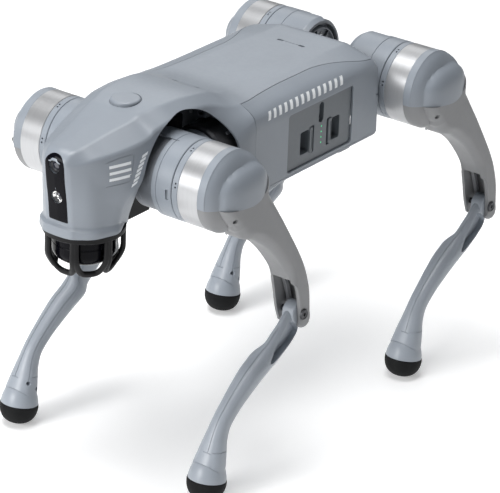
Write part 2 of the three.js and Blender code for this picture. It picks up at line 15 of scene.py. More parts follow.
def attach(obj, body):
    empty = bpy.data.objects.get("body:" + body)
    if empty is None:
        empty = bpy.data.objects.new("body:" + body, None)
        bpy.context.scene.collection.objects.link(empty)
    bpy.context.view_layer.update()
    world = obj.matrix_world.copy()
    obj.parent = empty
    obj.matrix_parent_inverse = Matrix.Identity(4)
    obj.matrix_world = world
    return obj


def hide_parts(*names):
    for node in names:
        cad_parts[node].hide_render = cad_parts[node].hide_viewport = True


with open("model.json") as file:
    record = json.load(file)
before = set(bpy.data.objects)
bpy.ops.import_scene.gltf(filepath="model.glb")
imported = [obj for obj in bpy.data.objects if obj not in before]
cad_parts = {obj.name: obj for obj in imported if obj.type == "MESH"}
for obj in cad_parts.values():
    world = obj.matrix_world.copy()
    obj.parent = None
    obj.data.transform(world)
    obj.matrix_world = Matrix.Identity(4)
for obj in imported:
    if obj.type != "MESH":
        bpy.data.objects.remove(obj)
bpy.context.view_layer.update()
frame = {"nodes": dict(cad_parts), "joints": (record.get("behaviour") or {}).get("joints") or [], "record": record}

# ---------------------------------------------------------------- places taken from the frame
MM = 0.001
RECORD = frame["record"]
JOINTS = {joint["name"]: joint for joint in frame["joints"]}
MOUNTS = {mount["name"]: mount for mount in RECORD["mounts"]}
LEGS = (("front_left", 1, 1), ("front_right", 1, -1), ("rear_left", -1, 1), ("rear_right", -1, -1))


def hinge(name):
    return Vector(JOINTS[name]["pos_m"])


def flat(place):
    return Vector((place.x, 0, place.z))


TRUNK_ORIGIN = (flat(hinge("front_left_thigh_swing")) + flat(hinge("rear_left_thigh_swing"))) / 2
TRUNK = Matrix.Translation(TRUNK_ORIGIN)
HIP_X = (hinge("front_left_thigh_swing").x - TRUNK_ORIGIN.x) / MM
HIP_Y = hinge("front_left_hip_swing").y / MM
FOOT_R = 22.5
FOOT_DROP = 22                   # foot centre to the ground
FOOT_LEAN = 33                   # degrees from the calf axis towards upright


def leg_frames(name, end, side):
    """Frames of the hip, thigh and calf of one leg. Local +Y is outward, so right legs are mirrored."""
    out = Vector((0, side, 0))
    hip = flat(hinge(f"{name}_thigh_swing"))
    knee = flat(hinge(f"{name}_knee_bend"))
    foot = flat(Vector(MOUNTS[f"{name}_foot_patch"]["pos_m"])) + Vector((0, 0, FOOT_DROP * MM))

    def link(top, bottom):
        up = (top - bottom).normalized()
        forward = Vector((up.z, 0, -up.x))
        turn = Matrix((forward, out, up)).transposed().to_4x4()
        return Matrix.Translation(top) @ turn

    turned = Matrix((Vector((end, 0, 0)), out, Vector((0, 0, 1)))).transposed().to_4x4()
    return Matrix.Translation(hip) @ turned, link(hip, knee), link(knee, foot), (knee - foot).length / MM


# ---------------------------------------------------------------- driving dimensions, millimetres
DRUM_R = 46.6
WALL = 2.4
GAP = 0.4
SIDE_Y = 90
TAIL_X = -141
ARCH = {"x": 181, "z": 5, "r": 63, "y": 24}
BATTERY_X = (-89, 35)
BATTERY_Z = (-43.5, 25.5)
POCKETS_X = ((-8, 8.5), (-67, -51.5))
LEVERS_X = ((-14.5, -8.8), (-50.7, -45))
LEVER_TRAVEL = 3.2
POCKET_Z = (-30.5, -3)
LEVER_Z = (-33, -1.5)
POCKET_DEPTH = 14
BUTTON = {"x": -30.5, "z": 10.5, "width": 8, "height": 23.8}
LED_X = -32
LED_Z = (-7, -13.6, -20.2, -26.8)
LIDAR_X = 277
HEAD_BUTTON_X = 209.5
LENS_Z = 34.5
LAMP_Z = -1.6
THIGH_LENGTH = 213
SHELL_Y = (127, 155)
COVER_Y = (122.6, 126.4)
KNEE = (0, -THIGH_LENGTH)        # in the thigh's X and Z
HUB_Y = 157.6
CALF_Y = 136.6
BOLT_R = 3.5
SHARP_ANGLE = 32                 # edges sharper than this are not shaded smooth


# ---------------------------------------------------------------- curves
def glide(table, spacing):
    """Rows along a smooth curve through the rows of a table, at most spacing apart, with no overshoot."""
    table = np.array(table, float)
    rows = table.reshape(len(table), -1)
    chords = np.sqrt((np.diff(table, axis=0) ** 2).sum(-1)).reshape(len(table) - 1, -1).max(1)
    knots = np.concatenate([[0], np.cumsum(chords)])
    h = np.diff(knots)[:, None]
    slope = np.diff(rows, axis=0) / h
    tangent = np.zeros_like(rows)
    tangent[0], tangent[-1] = slope[0], slope[-1]
    mean = (slope[:-1] * h[1:] + slope[1:] * h[:-1]) / (h[:-1] + h[1:])
    limit = 3 * np.minimum(abs(slope[:-1]), abs(slope[1:]))
    same = slope[:-1] * slope[1:] > 0
    tangent[1:-1] = np.where(same, np.sign(mean) * np.minimum(abs(mean), limit), 0)
    places = np.linspace(0, knots[-1], int(math.ceil(knots[-1] / spacing)) + 1)
    part = np.clip(np.searchsorted(knots, places, side="right") - 1, 0, len(h) - 1)
    width = h[part]
    t = ((places - knots[part])[:, None]) / width
    made = ((2 * t**3 - 3 * t**2 + 1) * rows[part] + (t**3 - 2 * t**2 + t) * width * tangent[part]
            + (3 * t**2 - 2 * t**3) * rows[part + 1] + (t**3 - t**2) * width * tangent[part + 1])
    return made.reshape((len(places),) + table.shape[1:])


def soften(points, reach, steps=5, straight=2):
    """Open line whose inner corners are rounded, each from its own reach before the corner to after it."""
    points = [Vector(p) for p in points]
    made = [points[0]]
    for (before, corner, after), far in zip(zip(points, points[1:], points[2:]), reach):
        start = corner + (before - corner).normalized() * min(far, (before - corner).length * 0.48)
        end = corner + (after - corner).normalized() * min(far, (after - corner).length * 0.48)
        last = made[-1]
        made += [last.lerp(start, s / straight) for s in range(1, straight)]
        for s in range(steps + 1):
            t = s / steps
            made.append(start * (1 - t) ** 2 + corner * 2 * t * (1 - t) + end * t * t)
    last = made[-1]
    return made + [last.lerp(points[-1], s / straight) for s in range(1, straight + 1)]


def soft_outline(corners, reach, steps=5):
    """soften() for a flat line, given and returned as (x, z)."""
    return [(p.x, p.z) for p in soften([(x, 0, z) for x, z in corners], reach, steps)]


def rounded_box(x0, x1, z0, z1, radius, steps=6):
    """Outline of a rectangle with round corners, anticlockwise."""
    made = []
    for cx, cz, start in ((x1, z1, 0), (x0, z1, 90), (x0, z0, 180), (x1, z0, 270)):
        inner_x = cx - math.copysign(radius, cx - (x0 + x1) / 2)
        inner_z = cz - math.copysign(radius, cz - (z0 + z1) / 2)
        for s in range(steps + 1):
            a = math.radians(start + 90 * s / steps)
            made.append((inner_x + radius * math.cos(a), inner_z + radius * math.sin(a)))
    return made


def full_turn(sides):
    return [2 * math.pi * i / sides for i in range(sides)]


def quarter_turn(steps, first=0):
    return [math.pi / 2 * s / steps for s in range(first, steps + 1)]


def circle(radius, sides=32, centre=(0, 0)):
    return [(centre[0] + radius * math.cos(a), centre[1] + radius * math.sin(a)) for a in full_turn(sides)]


def quarter_dome(radius, base, rise, steps):
    """Part of a lathe profile: a quarter ellipse from its rim to the axis."""
    return [(radius * math.cos(a), base + rise * math.sin(a)) for a in quarter_turn(steps)]


# ---------------------------------------------------------------- meshes
def make(name, points, faces):
    mesh = bpy.data.meshes.new(name)
    mesh.from_pydata([tuple(p) for p in points], [], faces)
    mesh.validate()
    obj = bpy.data.objects.new(name, mesh)
    bpy.context.scene.collection.objects.link(obj)
    return obj


def face_out(obj):
    """Turns the faces of a closed mesh outward."""
    mesh = obj.data
    mesh.calc_loop_triangles()
    volume = 0.0
    for tri in mesh.loop_triangles:
        a, b, c = (mesh.vertices[i].co for i in tri.vertices)
        volume += a.dot(b.cross(c))
    if volume < 0:
        mesh.flip_normals()
    return obj


def skin(name, rows, closed=True, ends=True):
    """Mesh through rows of points; closed joins the ends of each row, and ends caps the first and last row."""
    count = len(rows[0])
    points = [p for row in rows for p in row]
    faces = []
    for r in range(len(rows) - 1):
        for i in range(count if closed else count - 1):
            j = (i + 1) % count
            faces.append((r * count + i, r * count + j, (r + 1) * count + j, (r + 1) * count + i))
    if ends:
        last = (len(rows) - 1) * count
        faces.append(tuple(range(count))[::-1])
        faces.append(tuple(range(last, last + count)))
    obj = make(name, points, faces)
    return face_out(obj) if ends and closed else obj


def prism(name, outline, low, high, edge=0.0, axis="y", both=False, steps=4):
    """Plate with an outline across an axis. Its high edge, or both, is rounded by edge: a number or a list."""
    points = np.array(outline, float)
    ahead, behind = np.roll(points, -1, 0), np.roll(points, 1, 0)
    along = ahead - behind
    along /= np.maximum(np.linalg.norm(along, axis=1), 1e-9)[:, None]
    outward = np.stack([along[:, 1], -along[:, 0]], 1)
    area = (points[:, 0] * ahead[:, 1] - ahead[:, 0] * points[:, 1]).sum()
    outward *= 1 if area > 0 else -1
    edge = np.broadcast_to(np.array(edge, float), len(points))
    turns = quarter_turn(steps) if edge.max() > 0 else [0]
    rings = [(edge * (1 - math.cos(a)), high - edge * (1 - math.sin(a))) for a in turns]
    start = [(edge * (1 - math.cos(a)), low + edge * (1 - math.sin(a))) for a in reversed(turns)]
    rings = (start if both else [(edge * 0, edge * 0 + low)]) + rings

    def at(ring):
        inset, level = ring
        flat_points = points - outward * inset[:, None]
        if axis == "y":
            return [(x, h, z) for (x, z), h in zip(flat_points, level)]
        if axis == "x":
            return [(h, x, z) for (x, z), h in zip(flat_points, level)]
        return [(x, z, h) for (x, z), h in zip(flat_points, level)]

    return skin(name, [at(ring) for ring in rings])


def lathe(name, profile, axis="y", sides=96, sweep=360, start=0):
    """Turned piece; the profile is (radius, place along the axis), from one end to the other."""
    whole = sweep >= 360
    count = sides if whole else sides + 1
    turn = [math.radians(start + sweep * i / sides) for i in range(count)]

    def spot(r, h, a):
        c, s = r * math.cos(a), r * math.sin(a)
        return {"y": (c, h, s), "x": (h, c, s), "z": (c, s, h)}[axis]

    rows = [[spot(max(r, 0.01), h, a) for a in turn] for r, h in profile]
    if whole:
        return skin(name, rows)
    return skin(name, [[row[i] for row in rows] for i in range(count)])


def block(name, x, y, z, edge=0.0):
    radius = max(edge, 0.01)
    return prism(name, rounded_box(*x, *z, radius, 3 if edge else 1), *y, edge=edge * 0.9, both=edge > 0)


def rod(name, axis, radius, low, high, centre=(0, 0), sides=48):
    return prism(name, circle(radius, sides, centre), low, high, axis=axis)


def bearings(path, side):
    """Each point of a path with its direction there and its side, which is one for all or a list."""
    path = [Vector(p) for p in path]
    for i, p in enumerate(path):
        along = (path[min(i + 1, len(path) - 1)] - path[max(i - 1, 0)]).normalized()
        yield p, along, Vector(side[i] if isinstance(side, list) else side)


def sweep(name, path, side, width, reach):
    """Bar of rectangular section along a path; it reaches from below the path to above it, along side."""
    rows = []
    for p, along, up in bearings(path, side):
        up = up.normalized()
        across = along.cross(up).normalized() * width / 2
        low, high = up * reach[0], up * reach[1]
        rows.append([p - across - low, p + across - low, p + across + high, p - across + high])
    return skin(name, rows)


def tube(name, path, radius, squash, side):
    """Flattened bar along a path; squash is its thickness along side over its width."""
    rows = []
    for p, along, up in bearings(path, side):
        up = (up - along * up.dot(along)).normalized()
        across = along.cross(up)
        rows.append([p + across * radius * math.cos(a) + up * radius * squash * math.sin(a)
                     for a in full_turn(14)])
    return skin(name, rows)


def bake(obj):
    """Puts the result of an object's modifiers into its mesh."""
    evaluated = obj.evaluated_get(bpy.context.evaluated_depsgraph_get())
    mesh = bpy.data.meshes.new_from_object(evaluated)
    old = obj.data
    obj.modifiers.clear()
    obj.data = mesh
    mesh.name = old.name
    bpy.data.meshes.remove(old)
    return obj


def thicken(obj, thickness, flip=False):
    """Gives an open sheet a wall on the side its faces look away from, after flipping them if asked."""
    if flip:
        obj.data.flip_normals()
    modifier = obj.modifiers.new("wall", "SOLIDIFY")
    modifier.thickness = thickness
    modifier.offset = -1
    modifier.use_even_offset = True
    modifier.use_quality_normals = True
    return bake(obj)


def combine(obj, others, operation):
    """Boolean of one object with others, which are used up."""
    for other in others:
        modifier = obj.modifiers.new("cut", "BOOLEAN")
        modifier.solver = "MANIFOLD"
        modifier.operation = operation
        modifier.object = other
        bake(obj)
        bpy.data.objects.remove(other)
    return obj


def carve(obj, *cutters):
    return combine(obj, cutters, "DIFFERENCE")


def join(obj, *others):
    return combine(obj, others, "UNION")


def copy(obj, name):
    twin = obj.copy()
    twin.data = obj.data.copy()
    twin.name = name
    bpy.context.scene.collection.objects.link(twin)
    return twin


def moved(obj, matrix):
    """Moves the mesh itself, and keeps its faces outward if the matrix mirrors it."""
    obj.data.transform(matrix)
    if matrix.determinant() < 0:
        obj.data.flip_normals()
    return obj


def shifted(obj, x, y, z):
    return moved(obj, Matrix.Translation((x, y, z)))


def turned(obj, axis, degrees):
    return moved(obj, Matrix.Rotation(math.radians(degrees), 4, axis))


def gather(name, objects):
    """One mesh from several that don't touch."""
    points, faces = [], []
    for obj in objects:
        shift = len(points)
        points += [v.co.copy() for v in obj.data.vertices]
        faces += [tuple(i + shift for i in f.vertices) for f in obj.data.polygons]
        bpy.data.objects.remove(obj)
    return make(name, points, faces)


def settle(obj, place, body, material, replaces=()):
    """Puts a finished shape in the row frame, and gives it its body, finish and shading."""
    moved(obj, place @ Matrix.Scale(MM, 4))
    mesh = obj.data
    mesh.materials.clear()
    mesh.materials.append(material)
    mesh.shade_smooth()
    mesh.set_sharp_from_angle(angle=math.radians(SHARP_ANGLE))
    weighted = obj.modifiers.new("shading", "WEIGHTED_NORMAL")
    weighted.keep_sharp = True
    bake(obj)
    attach(obj, body)
    if replaces:
        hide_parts(*replaces)
    return obj


def on_trunk(obj, slot, material, *replaced):
    return settle(obj, TRUNK, "trunk", material, replaced)


# ---------------------------------------------------------------- materials
def finish_of(name, colour, roughness, metallic=0.0, shade=0.05, patch=22, rough_shift=0.08, grain=0.02,
              grain_scale=1400, stretch=(1, 1, 1), coat=0.0, emission=0.0, glint=0.5):
    """Procedural finish: colour and roughness drift over the surface, and a fine grain gives it tooth."""
    material = bpy.data.materials.new(name)
    material.use_nodes = True
    nodes, links = material.node_tree.nodes, material.node_tree.links
    shader = nodes["Principled BSDF"]
    place = nodes.new("ShaderNodeTexCoord")
    spread = nodes.new("ShaderNodeMapping")
    spread.inputs["Scale"].default_value = stretch
    links.new(place.outputs["Object"], spread.inputs["Vector"])

    def noise(scale, detail):
        node = nodes.new("ShaderNodeTexNoise")
        node.inputs["Scale"].default_value = scale
        node.inputs["Detail"].default_value = detail
        links.new(spread.outputs["Vector"], node.inputs["Vector"])
        return node.outputs["Fac"]

    tint = nodes.new("ShaderNodeValToRGB")
    tint.color_ramp.elements[0].position = 0.3
    tint.color_ramp.elements[1].position = 0.7
    tint.color_ramp.elements[0].color = [c * (1 - shade) for c in colour] + [1]
    tint.color_ramp.elements[1].color = [min(c * (1 + shade), 1) for c in colour] + [1]
    links.new(noise(patch, 3), tint.inputs["Fac"])
    links.new(tint.outputs["Color"], shader.inputs["Base Color"])
    sheen = nodes.new("ShaderNodeMapRange")
    sheen.inputs["To Min"].default_value = roughness - rough_shift
    sheen.inputs["To Max"].default_value = roughness + rough_shift
    links.new(noise(patch * 9, 5), sheen.inputs["Value"])
    links.new(sheen.outputs["Result"], shader.inputs["Roughness"])
    bump = nodes.new("ShaderNodeBump")
    bump.inputs["Strength"].default_value = 0.5
    bump.inputs["Distance"].default_value = grain * MM
    links.new(noise(grain_scale, 2), bump.inputs["Height"])
    links.new(bump.outputs["Normal"], shader.inputs["Normal"])
    shader.inputs["Metallic"].default_value = metallic
    shader.inputs["Specular IOR Level"].default_value = glint
    shader.inputs["Coat Weight"].default_value = coat
    shader.inputs["Coat Roughness"].default_value = 0.25
    if emission:
        shader.inputs["Emission Color"].default_value = [*colour, 1]
        shader.inputs["Emission Strength"].default_value = emission
    return material


BODY = finish_of("satin_body_paint", (0.245, 0.272, 0.308), 0.42, shade=0.03, coat=0.15)
# Door paint, darker than the body: partly the door's own darker tone, partly painted shade for the left side,
# which faces away from the lights.
DOOR_PAINT_AND_SHADE = finish_of("satin_door_paint_and_painted_shade", (0.118, 0.134, 0.150), 0.44, shade=0.03, coat=0.15)
CALF_PAINT = finish_of("calf_paint", (0.33, 0.362, 0.405), 0.38, shade=0.03, coat=0.15)
THIGH_PAINT = finish_of("warm_grey_paint", (0.225, 0.228, 0.234), 0.46, shade=0.03, metallic=0.15)
SILVER = finish_of("turned_aluminium", (0.50, 0.505, 0.515), 0.36, metallic=0.75, shade=0.03, patch=40,
                   stretch=(1, 14, 1), grain=0.012, grain_scale=500)
STEEL = finish_of("brushed_steel", (0.50, 0.51, 0.53), 0.32, metallic=0.9, patch=60, stretch=(1, 1, 8),
                  grain_scale=600)
DARK_METAL = finish_of("dark_anodised", (0.07, 0.072, 0.078), 0.42, metallic=0.5, patch=60)
FRAME_PAINT = finish_of("frame_grey", (0.19, 0.205, 0.228), 0.5, metallic=0.3, patch=60)
BLACK = finish_of("black_moulding", (0.006, 0.006, 0.007), 0.45, shade=0.2, patch=70, grain=0.05,
                  grain_scale=1800, glint=0.2)
# Near-black for the CAD pieces inside the body and the wall behind the wheel arches: painted shade for the inside
# of the machine.
INSIDE_SHADE_BLACK = finish_of("painted_inside_shade", (0.012, 0.0125, 0.014), 0.6, shade=0.2, patch=50)
GLOSS = finish_of("black_glass", (0.003, 0.003, 0.005), 0.2, shade=0.1, rough_shift=0.03, grain=0.002,
                  glint=0.08)
LENS = finish_of("coated_lens", (0.012, 0.014, 0.028), 0.07, shade=0.3, rough_shift=0.02, grain=0.001,
                 coat=1.0)
CHROME = finish_of("lamp_ring", (0.86, 0.86, 0.85), 0.14, metallic=1.0, shade=0.02, rough_shift=0.04)
LAMP = finish_of("lamp_glass", (0.75, 0.76, 0.72), 0.12, shade=0.03, rough_shift=0.04, coat=1.0,
                 emission=0.5)
RUBBER = finish_of("tread_rubber", (0.007, 0.0075, 0.008), 0.72, shade=0.25, patch=90, grain=0.10,
                   grain_scale=900, glint=0.2)
INK = finish_of("white_ink", (0.80, 0.82, 0.84), 0.5, shade=0.02)
GREEN = finish_of("green_light", (0.06, 0.62, 0.24), 0.35, shade=0.1, emission=0.8)
FLOOR = finish_of("studio_floor", (0.90, 0.90, 0.90), 0.7, shade=0.01, patch=0.8, grain=0.02,
                  emission=0.4)

# ---------------------------------------------------------------- camera, light and floor
CAMERA = {"from_trunk": (2.4435, 1.7943, 1.2415), "yaw": -144.01, "down": 25.01, "roll": 2.09,
          "lens": 207.35}
LIGHT_TARGET = (0, 0, 0.25)
LIGHTS = {                       # place, size and power
    "overhead": ((0.3, -0.2, 2.8), 1.9, 70),
    "front": ((2.7, -0.7, 1.3), 1.5, 52),
    "rear": ((-2.0, -1.6, 2.0), 1.6, 8),
}
SKY = (0.93, 0.96, 1, 1)
SKY_STRENGTH = 0.12
FLOOR_REACH = 9


def add_camera():
    yaw, down, roll = (math.radians(CAMERA[key]) for key in ("yaw", "down", "roll"))
    ahead = Vector((math.cos(yaw) * math.cos(down), math.sin(yaw) * math.cos(down), -math.sin(down)))
    right = ahead.cross(Vector((0, 0, 1))).normalized()
    up = right.cross(ahead)
    across = right * math.cos(roll) + up * math.sin(roll)
    upright = up * math.cos(roll) - right * math.sin(roll)
    data = bpy.data.cameras.new("camera")
    data.lens = CAMERA["lens"]
    camera = bpy.data.objects.new("camera", data)
    bpy.context.scene.collection.objects.link(camera)
    turn = Matrix((across, upright, -ahead)).transposed().to_4x4()
    camera.matrix_world = Matrix.Translation(TRUNK_ORIGIN + Vector(CAMERA["from_trunk"])) @ turn
    bpy.context.scene.camera = camera


def add_light(name, place, size, power):
    data = bpy.data.lights.new(name, "AREA")
    data.shape = "DISK"
    data.size = size
    data.energy = power
    light = bpy.data.objects.new(name, data)
    light.location = place
    light.rotation_euler = (Vector(LIGHT_TARGET) - Vector(place)).to_track_quat("-Z", "Y").to_euler()
    bpy.context.scene.collection.objects.link(light)


def add_studio():
    world = bpy.data.worlds.new("studio")
    bpy.context.scene.world = world
    world.use_nodes = True
    sky = world.node_tree.nodes["Background"]
    sky.inputs["Color"].default_value = SKY
    sky.inputs["Strength"].default_value = SKY_STRENGTH
    for name, light in LIGHTS.items():
        add_light(name, *light)
    corners = [(x * FLOOR_REACH, y * FLOOR_REACH, 0) for x, y in ((-1, -1), (1, -1), (1, 1), (-1, 1))]
    floor = make("floor", corners, [(0, 1, 2, 3)])
    floor.data.materials.append(FLOOR)
    bpy.context.scene.view_settings.view_transform = "Standard"


# ---------------------------------------------------------------- trunk
def section(x, top, *rest):
    """Half section at one x: the height at the centre, then (y, z) of each corner."""
    return [(x, 0, top), *[(x, y, z) for y, z in rest]]


def mirrored_half(half, reach, steps=4):
    """A whole open ring from its left half, which runs from the centre plane to its edge."""
    left = soften(half, reach, steps, straight=3)
    right = [Vector((p.x, -p.y, p.z)) for p in left[1:]]
    return left[::-1] + right


# Left half of the trunk's section: height at the centre, then (y, z) of the deck edge, the shoulder
# seam, the foot of the shoulder and the top of the side.
TRUNK_STATIONS = (
    (-141, 46, (44, 46), (78, 37.5), (84, 31), (87, 22)),
    (-139.3, 48.6, (45, 48.4), (81, 39), (87, 33), (89.2, 24)),
    (-135, 50.2, (46, 49.8), (83.5, 40.3), (88.4, 34.6), (90, 26)),
    (-122, 50.5, (46, 50), (83, 42), (88.6, 36.5), (90, 28)),
    (-106, 50.5, (45.5, 50), (78.5, 44.6), (87.6, 38.5), (90, 30)),
    (-90, 50.5, (46, 50), (72, 46.8), (86, 40.4), (90, 31)),
    (-68, 50.5, (47.5, 50), (64, 48.3), (84, 41.6), (90, 31.5)),
    (-40, 50.5, (49.5, 50), (60, 49), (82.5, 42.6), (90, 32)),
    (5, 50.5, (50, 50), (60, 49), (82, 42.8), (90, 32)),
    (35, 50.5, (48, 50), (61, 48.8), (82.5, 42.8), (90, 32)),
    (58, 50.7, (42, 50.3), (63, 48.7), (84, 42.6), (90, 32.5)),
    (76, 52, (37, 51.9), (66, 49.2), (86, 42.6), (90, 33)),
    (95.95, 55, (40, 56), (69, 51.2), (86, 43.2), (90, 33.8)),
)
SECTION_REACH = (2.5, 2.2, 9, 8)   # how far each corner of a section is rounded, trunk and head
SIDE_LOW = -47
END_SHARES = (0.04, 0.5, 0.85)   # rows of an end wall, from its middle to its edge


def side_at(x):
    """The flat sides are drawn in at the edge of the tail."""
    return SIDE_Y - (3 if x < -140 else 0)


def closed_end(ring, centre):
    """Rows that run from the middle of an end wall out to its edge."""
    return [[Vector(centre).lerp(p, share) for p in ring] for share in END_SHARES]


def trunk_cover():
    """Thin shell of the deck, the shoulders, the sides and the tail, with the battery's bay cut in."""
    table = [section(*row, (side_at(row[0]), SIDE_LOW)) for row in TRUNK_STATIONS]
    rows = [mirrored_half(row, SECTION_REACH) for row in glide(table, 4)]
    wall = closed_end(rows[0], (TAIL_X, 0, -12))
    cover = thicken(skin("trunk_cover", wall + rows, closed=False, ends=False), WALL, flip=True)
    tail_holes = [rod("hole", "x", 36.5, TAIL_X - 5, TAIL_X + 6, (side * HIP_Y, 0)) for side in (1, -1)]
    x0, x1 = BATTERY_X
    z0, z1 = BATTERY_Z
    bay = prism("bay", rounded_box(x0 - 0.3, x1 + 0.3, z0 - 0.3, z1 + 0.8, 4.2), 60, 100)
    carve(cover, *tail_holes, bay, *strap_slots(-93, 40, 60), *shoulder_seams(), *side_notches())
    return cover


def strap_slots(x, low, high):
    """Two small openings in line across the machine, with a fine slit between them."""
    holes = [prism("slot", rounded_box(x - 2, x + 2, y - 4.2, y + 4.2, 1.9), low, high, axis="z")
             for y in (-15, 15)]
    slit = prism("slit", rounded_box(x - 0.5, x + 0.5, -13, 13, 0.4), low, high, axis="z")
    return [*holes, slit]


def shoulder_seams():
    """Cutters for the seam that runs along each shoulder."""
    line = [(x, y, z) for x, _, _, (y, z), *_ in TRUNK_STATIONS[2:]]
    line = [line[0], *[tuple(p) for p in glide(line, 6)], (line[-1][0] + 3, *line[-1][1:])]
    cutters = []
    for side in (1, -1):
        path = [(x, side * y, z) for x, y, z in line[1:]]
        cutters.append(sweep("seam", path, (0, side * 0.25, 0.97), 0.8, (1.0, 3)))
    return cutters


def side_notches():
    return [block("notch", (TAIL_X - 2, TAIL_X + 4), (side * SIDE_Y - 4, side * SIDE_Y + 4), (-1.2, 1.2))
            for side in (1, -1)]


# Each x with the height of the belly there.
BELLY_STATIONS = ((-141, -52), (-137, -53.6), (-60, -54), (20, -55), (40, -58), (55, -70), (68, -77),
                  (84, -72), (95.6, -60))


def belly_cover():
    """Thin shell under the trunk that deepens towards the chin, with vents across its middle."""
    table = []
    for x, low in BELLY_STATIONS:
        side = side_at(x)
        foot = SIDE_LOW - 1.6 - max(0, -56 - low) * 0.2
        table.append(section(x, low, (side - 24, low), (side, foot), (side, SIDE_LOW - GAP)))
    rows = [mirrored_half(row, (8, 5)) for row in glide(table, 4)]
    front = closed_end(rows[-1], (95.6, 0, -52))[::-1]
    wall = closed_end(rows[0], (TAIL_X, 0, -52))
    belly = thicken(skin("belly_cover", wall + rows + front, closed=False, ends=False), WALL)
    vents = [prism("vent", rounded_box(x - 1.2, x + 1.2, -24, 24, 1.1), -80, -50, axis="z")
             for x in range(-60, 12, 9)]
    slots = [block("slot", (42, 54), (side * 82 - 9, side * 82 + 9), (-56, -53)) for side in (1, -1)]
    return carve(belly, *vents, *slots)


def belly_pad():
    pads = [prism("pad", rounded_box(-114, -86, y - 14, y + 14, 6), -62, -51, axis="z") for y in (-63, 63)]
    return gather("belly_pad", pads)


# ---------------------------------------------------------------- head
# Left half of the head cover from the front of the trunk on: each x with the height at the centre, then
# (y, z) of two creases, the side, the low side and the edge.
HOOD_STATIONS = (
    (96, 55, (40, 56), (69, 51.2), (86, 43.2), (90, 33.8), (90, -50)),
    (108, 60, (41, 60.5), (68, 52.5), (83, 40), (88.4, 27), (89, -50)),
    (121, 66, (43, 66), (64, 56), (77, 38), (83.2, 20), (84, -50)),
    (136, 70, (43, 69.4), (59, 60.5), (66, 45), (70, 22), (70, -50)),
    (155, 73, (41.5, 71.8), (57, 63.5), (60, 48), (60.5, 28), (60, -50)),
    (175, 74, (39.5, 72.8), (56, 64.5), (59, 49), (59, 28), (59, -50)),
    (197, 74, (37.7, 72.6), (55.5, 63), (58, 47), (58.5, 25), (58, -50)),
    (220, 71, (32.5, 69.8), (53, 58.4), (55, 42), (55.5, 20), (55, -50)),
)
# The same six places round the face, where the sections turn from upright to level.
FACE_STATIONS = (
    ((241, 0, 67.2), (241, 30, 65), (240, 52, 51), (240, 52.8, 37), (240, 53, 12), (241, 42, -6)),
    ((260, 0, 63), (260, 25.5, 61), (258.6, 48, 47.5), (256, 50, 34), (250, 52, 8), (241, 36, -22)),
    ((282, 0, 58), (282, 21.5, 56), (281, 41, 44.5), (274, 45.5, 30), (258, 51, 4), (241.5, 32, -34)),
    ((304, 0, 53), (304, 17.5, 51.4), (303, 32, 42), (292, 39, 25), (265, 49.5, -2), (242, 30.5, -40)),
    ((319, 0, 49.4), (318, 14.6, 47.6), (314, 24.5, 38.5), (302, 33.5, 18), (270, 47.5, -8),
     (242.5, 30, -44)),
    ((325.7, 0, 41), (324.3, 12.8, 39), (322, 16.8, 36.3), (305, 32.5, 8), (272, 45.6, -14),
     (243, 30, -46.5)),
    ((324, 0, 22), (322.9, 12, 19), (320.2, 17.4, 15), (305.5, 32, -6), (273.5, 44.5, -21),
     (243.5, 30, -48)),
    ((321, 0, 0), (320, 11, -3), (317.5, 17.4, -8), (305.5, 32, -20), (275, 43.8, -29), (244, 29.5, -49.3)),
    ((318.6, 0, -21), (318, 11, -23), (316.5, 17.4, -26), (304.8, 32.6, -30), (276, 43.6, -33),
     (244.5, 29, -44)),
    ((317.7, 0, -32.5), (317.2, 11, -33.2), (316, 17.2, -34), (304.6, 33, -35.6), (276.4, 43.6, -37),
     (245, 28.5, -44.8)),
    ((318.4, 0, -34.8), (318, 11, -35.4), (317, 17.6, -36), (305, 34, -37.6), (276.8, 44.6, -39.2),
     (245.5, 28.6, -45.2)),
    ((321.2, 0, -36.6), (320.7, 11.4, -37), (319.2, 18.6, -37.6), (305.8, 36.2, -39.4), (277, 46, -41.2),
     (246, 29.4, -45.5)),
    ((322, 0, -46), (321.4, 11.4, -46), (319.8, 18.6, -46), (306, 36.8, -46), (277, 46.6, -46),
     (246, 29.5, -46)),
)
FACE_TILT = math.degrees(math.atan2(8, 75))      # the face leans forward at its top
FACE_CENTRE = (321.6, 0, 8)


def dense(outline, step):
    """The same closed outline with points at most a step apart."""
    made = []
    for start, end in zip(outline, outline[1:] + outline[:1]):
        count = max(1, math.ceil(math.dist(start, end) / step))
        made += [tuple(np.add(start, np.subtract(end, start) * s / count)) for s in range(count)]
    return made


def on_face(obj, z, proud=0.0):
    """Turns a piece made along +X about the origin to stand on the face at height z."""
    lean = Matrix.Rotation(math.radians(FACE_TILT), 4, "Y")
    x = FACE_CENTRE[0] + (z - FACE_CENTRE[2]) * math.tan(math.radians(FACE_TILT))
    return moved(obj, Matrix.Translation((x + proud, 0, z)) @ lean)


def strip_outline(half_width, top, bottom):
    """Upright strip with a round top and small corners below, as (y, z)."""
    arc = [(half_width * math.cos(a), top - half_width + half_width * math.sin(a))
           for a in (math.pi * s / 24 for s in range(25))]
    low = [(-half_width, bottom + 1), (-half_width + 1, bottom)]
    return arc + low + [(-y, z) for y, z in reversed(low)]


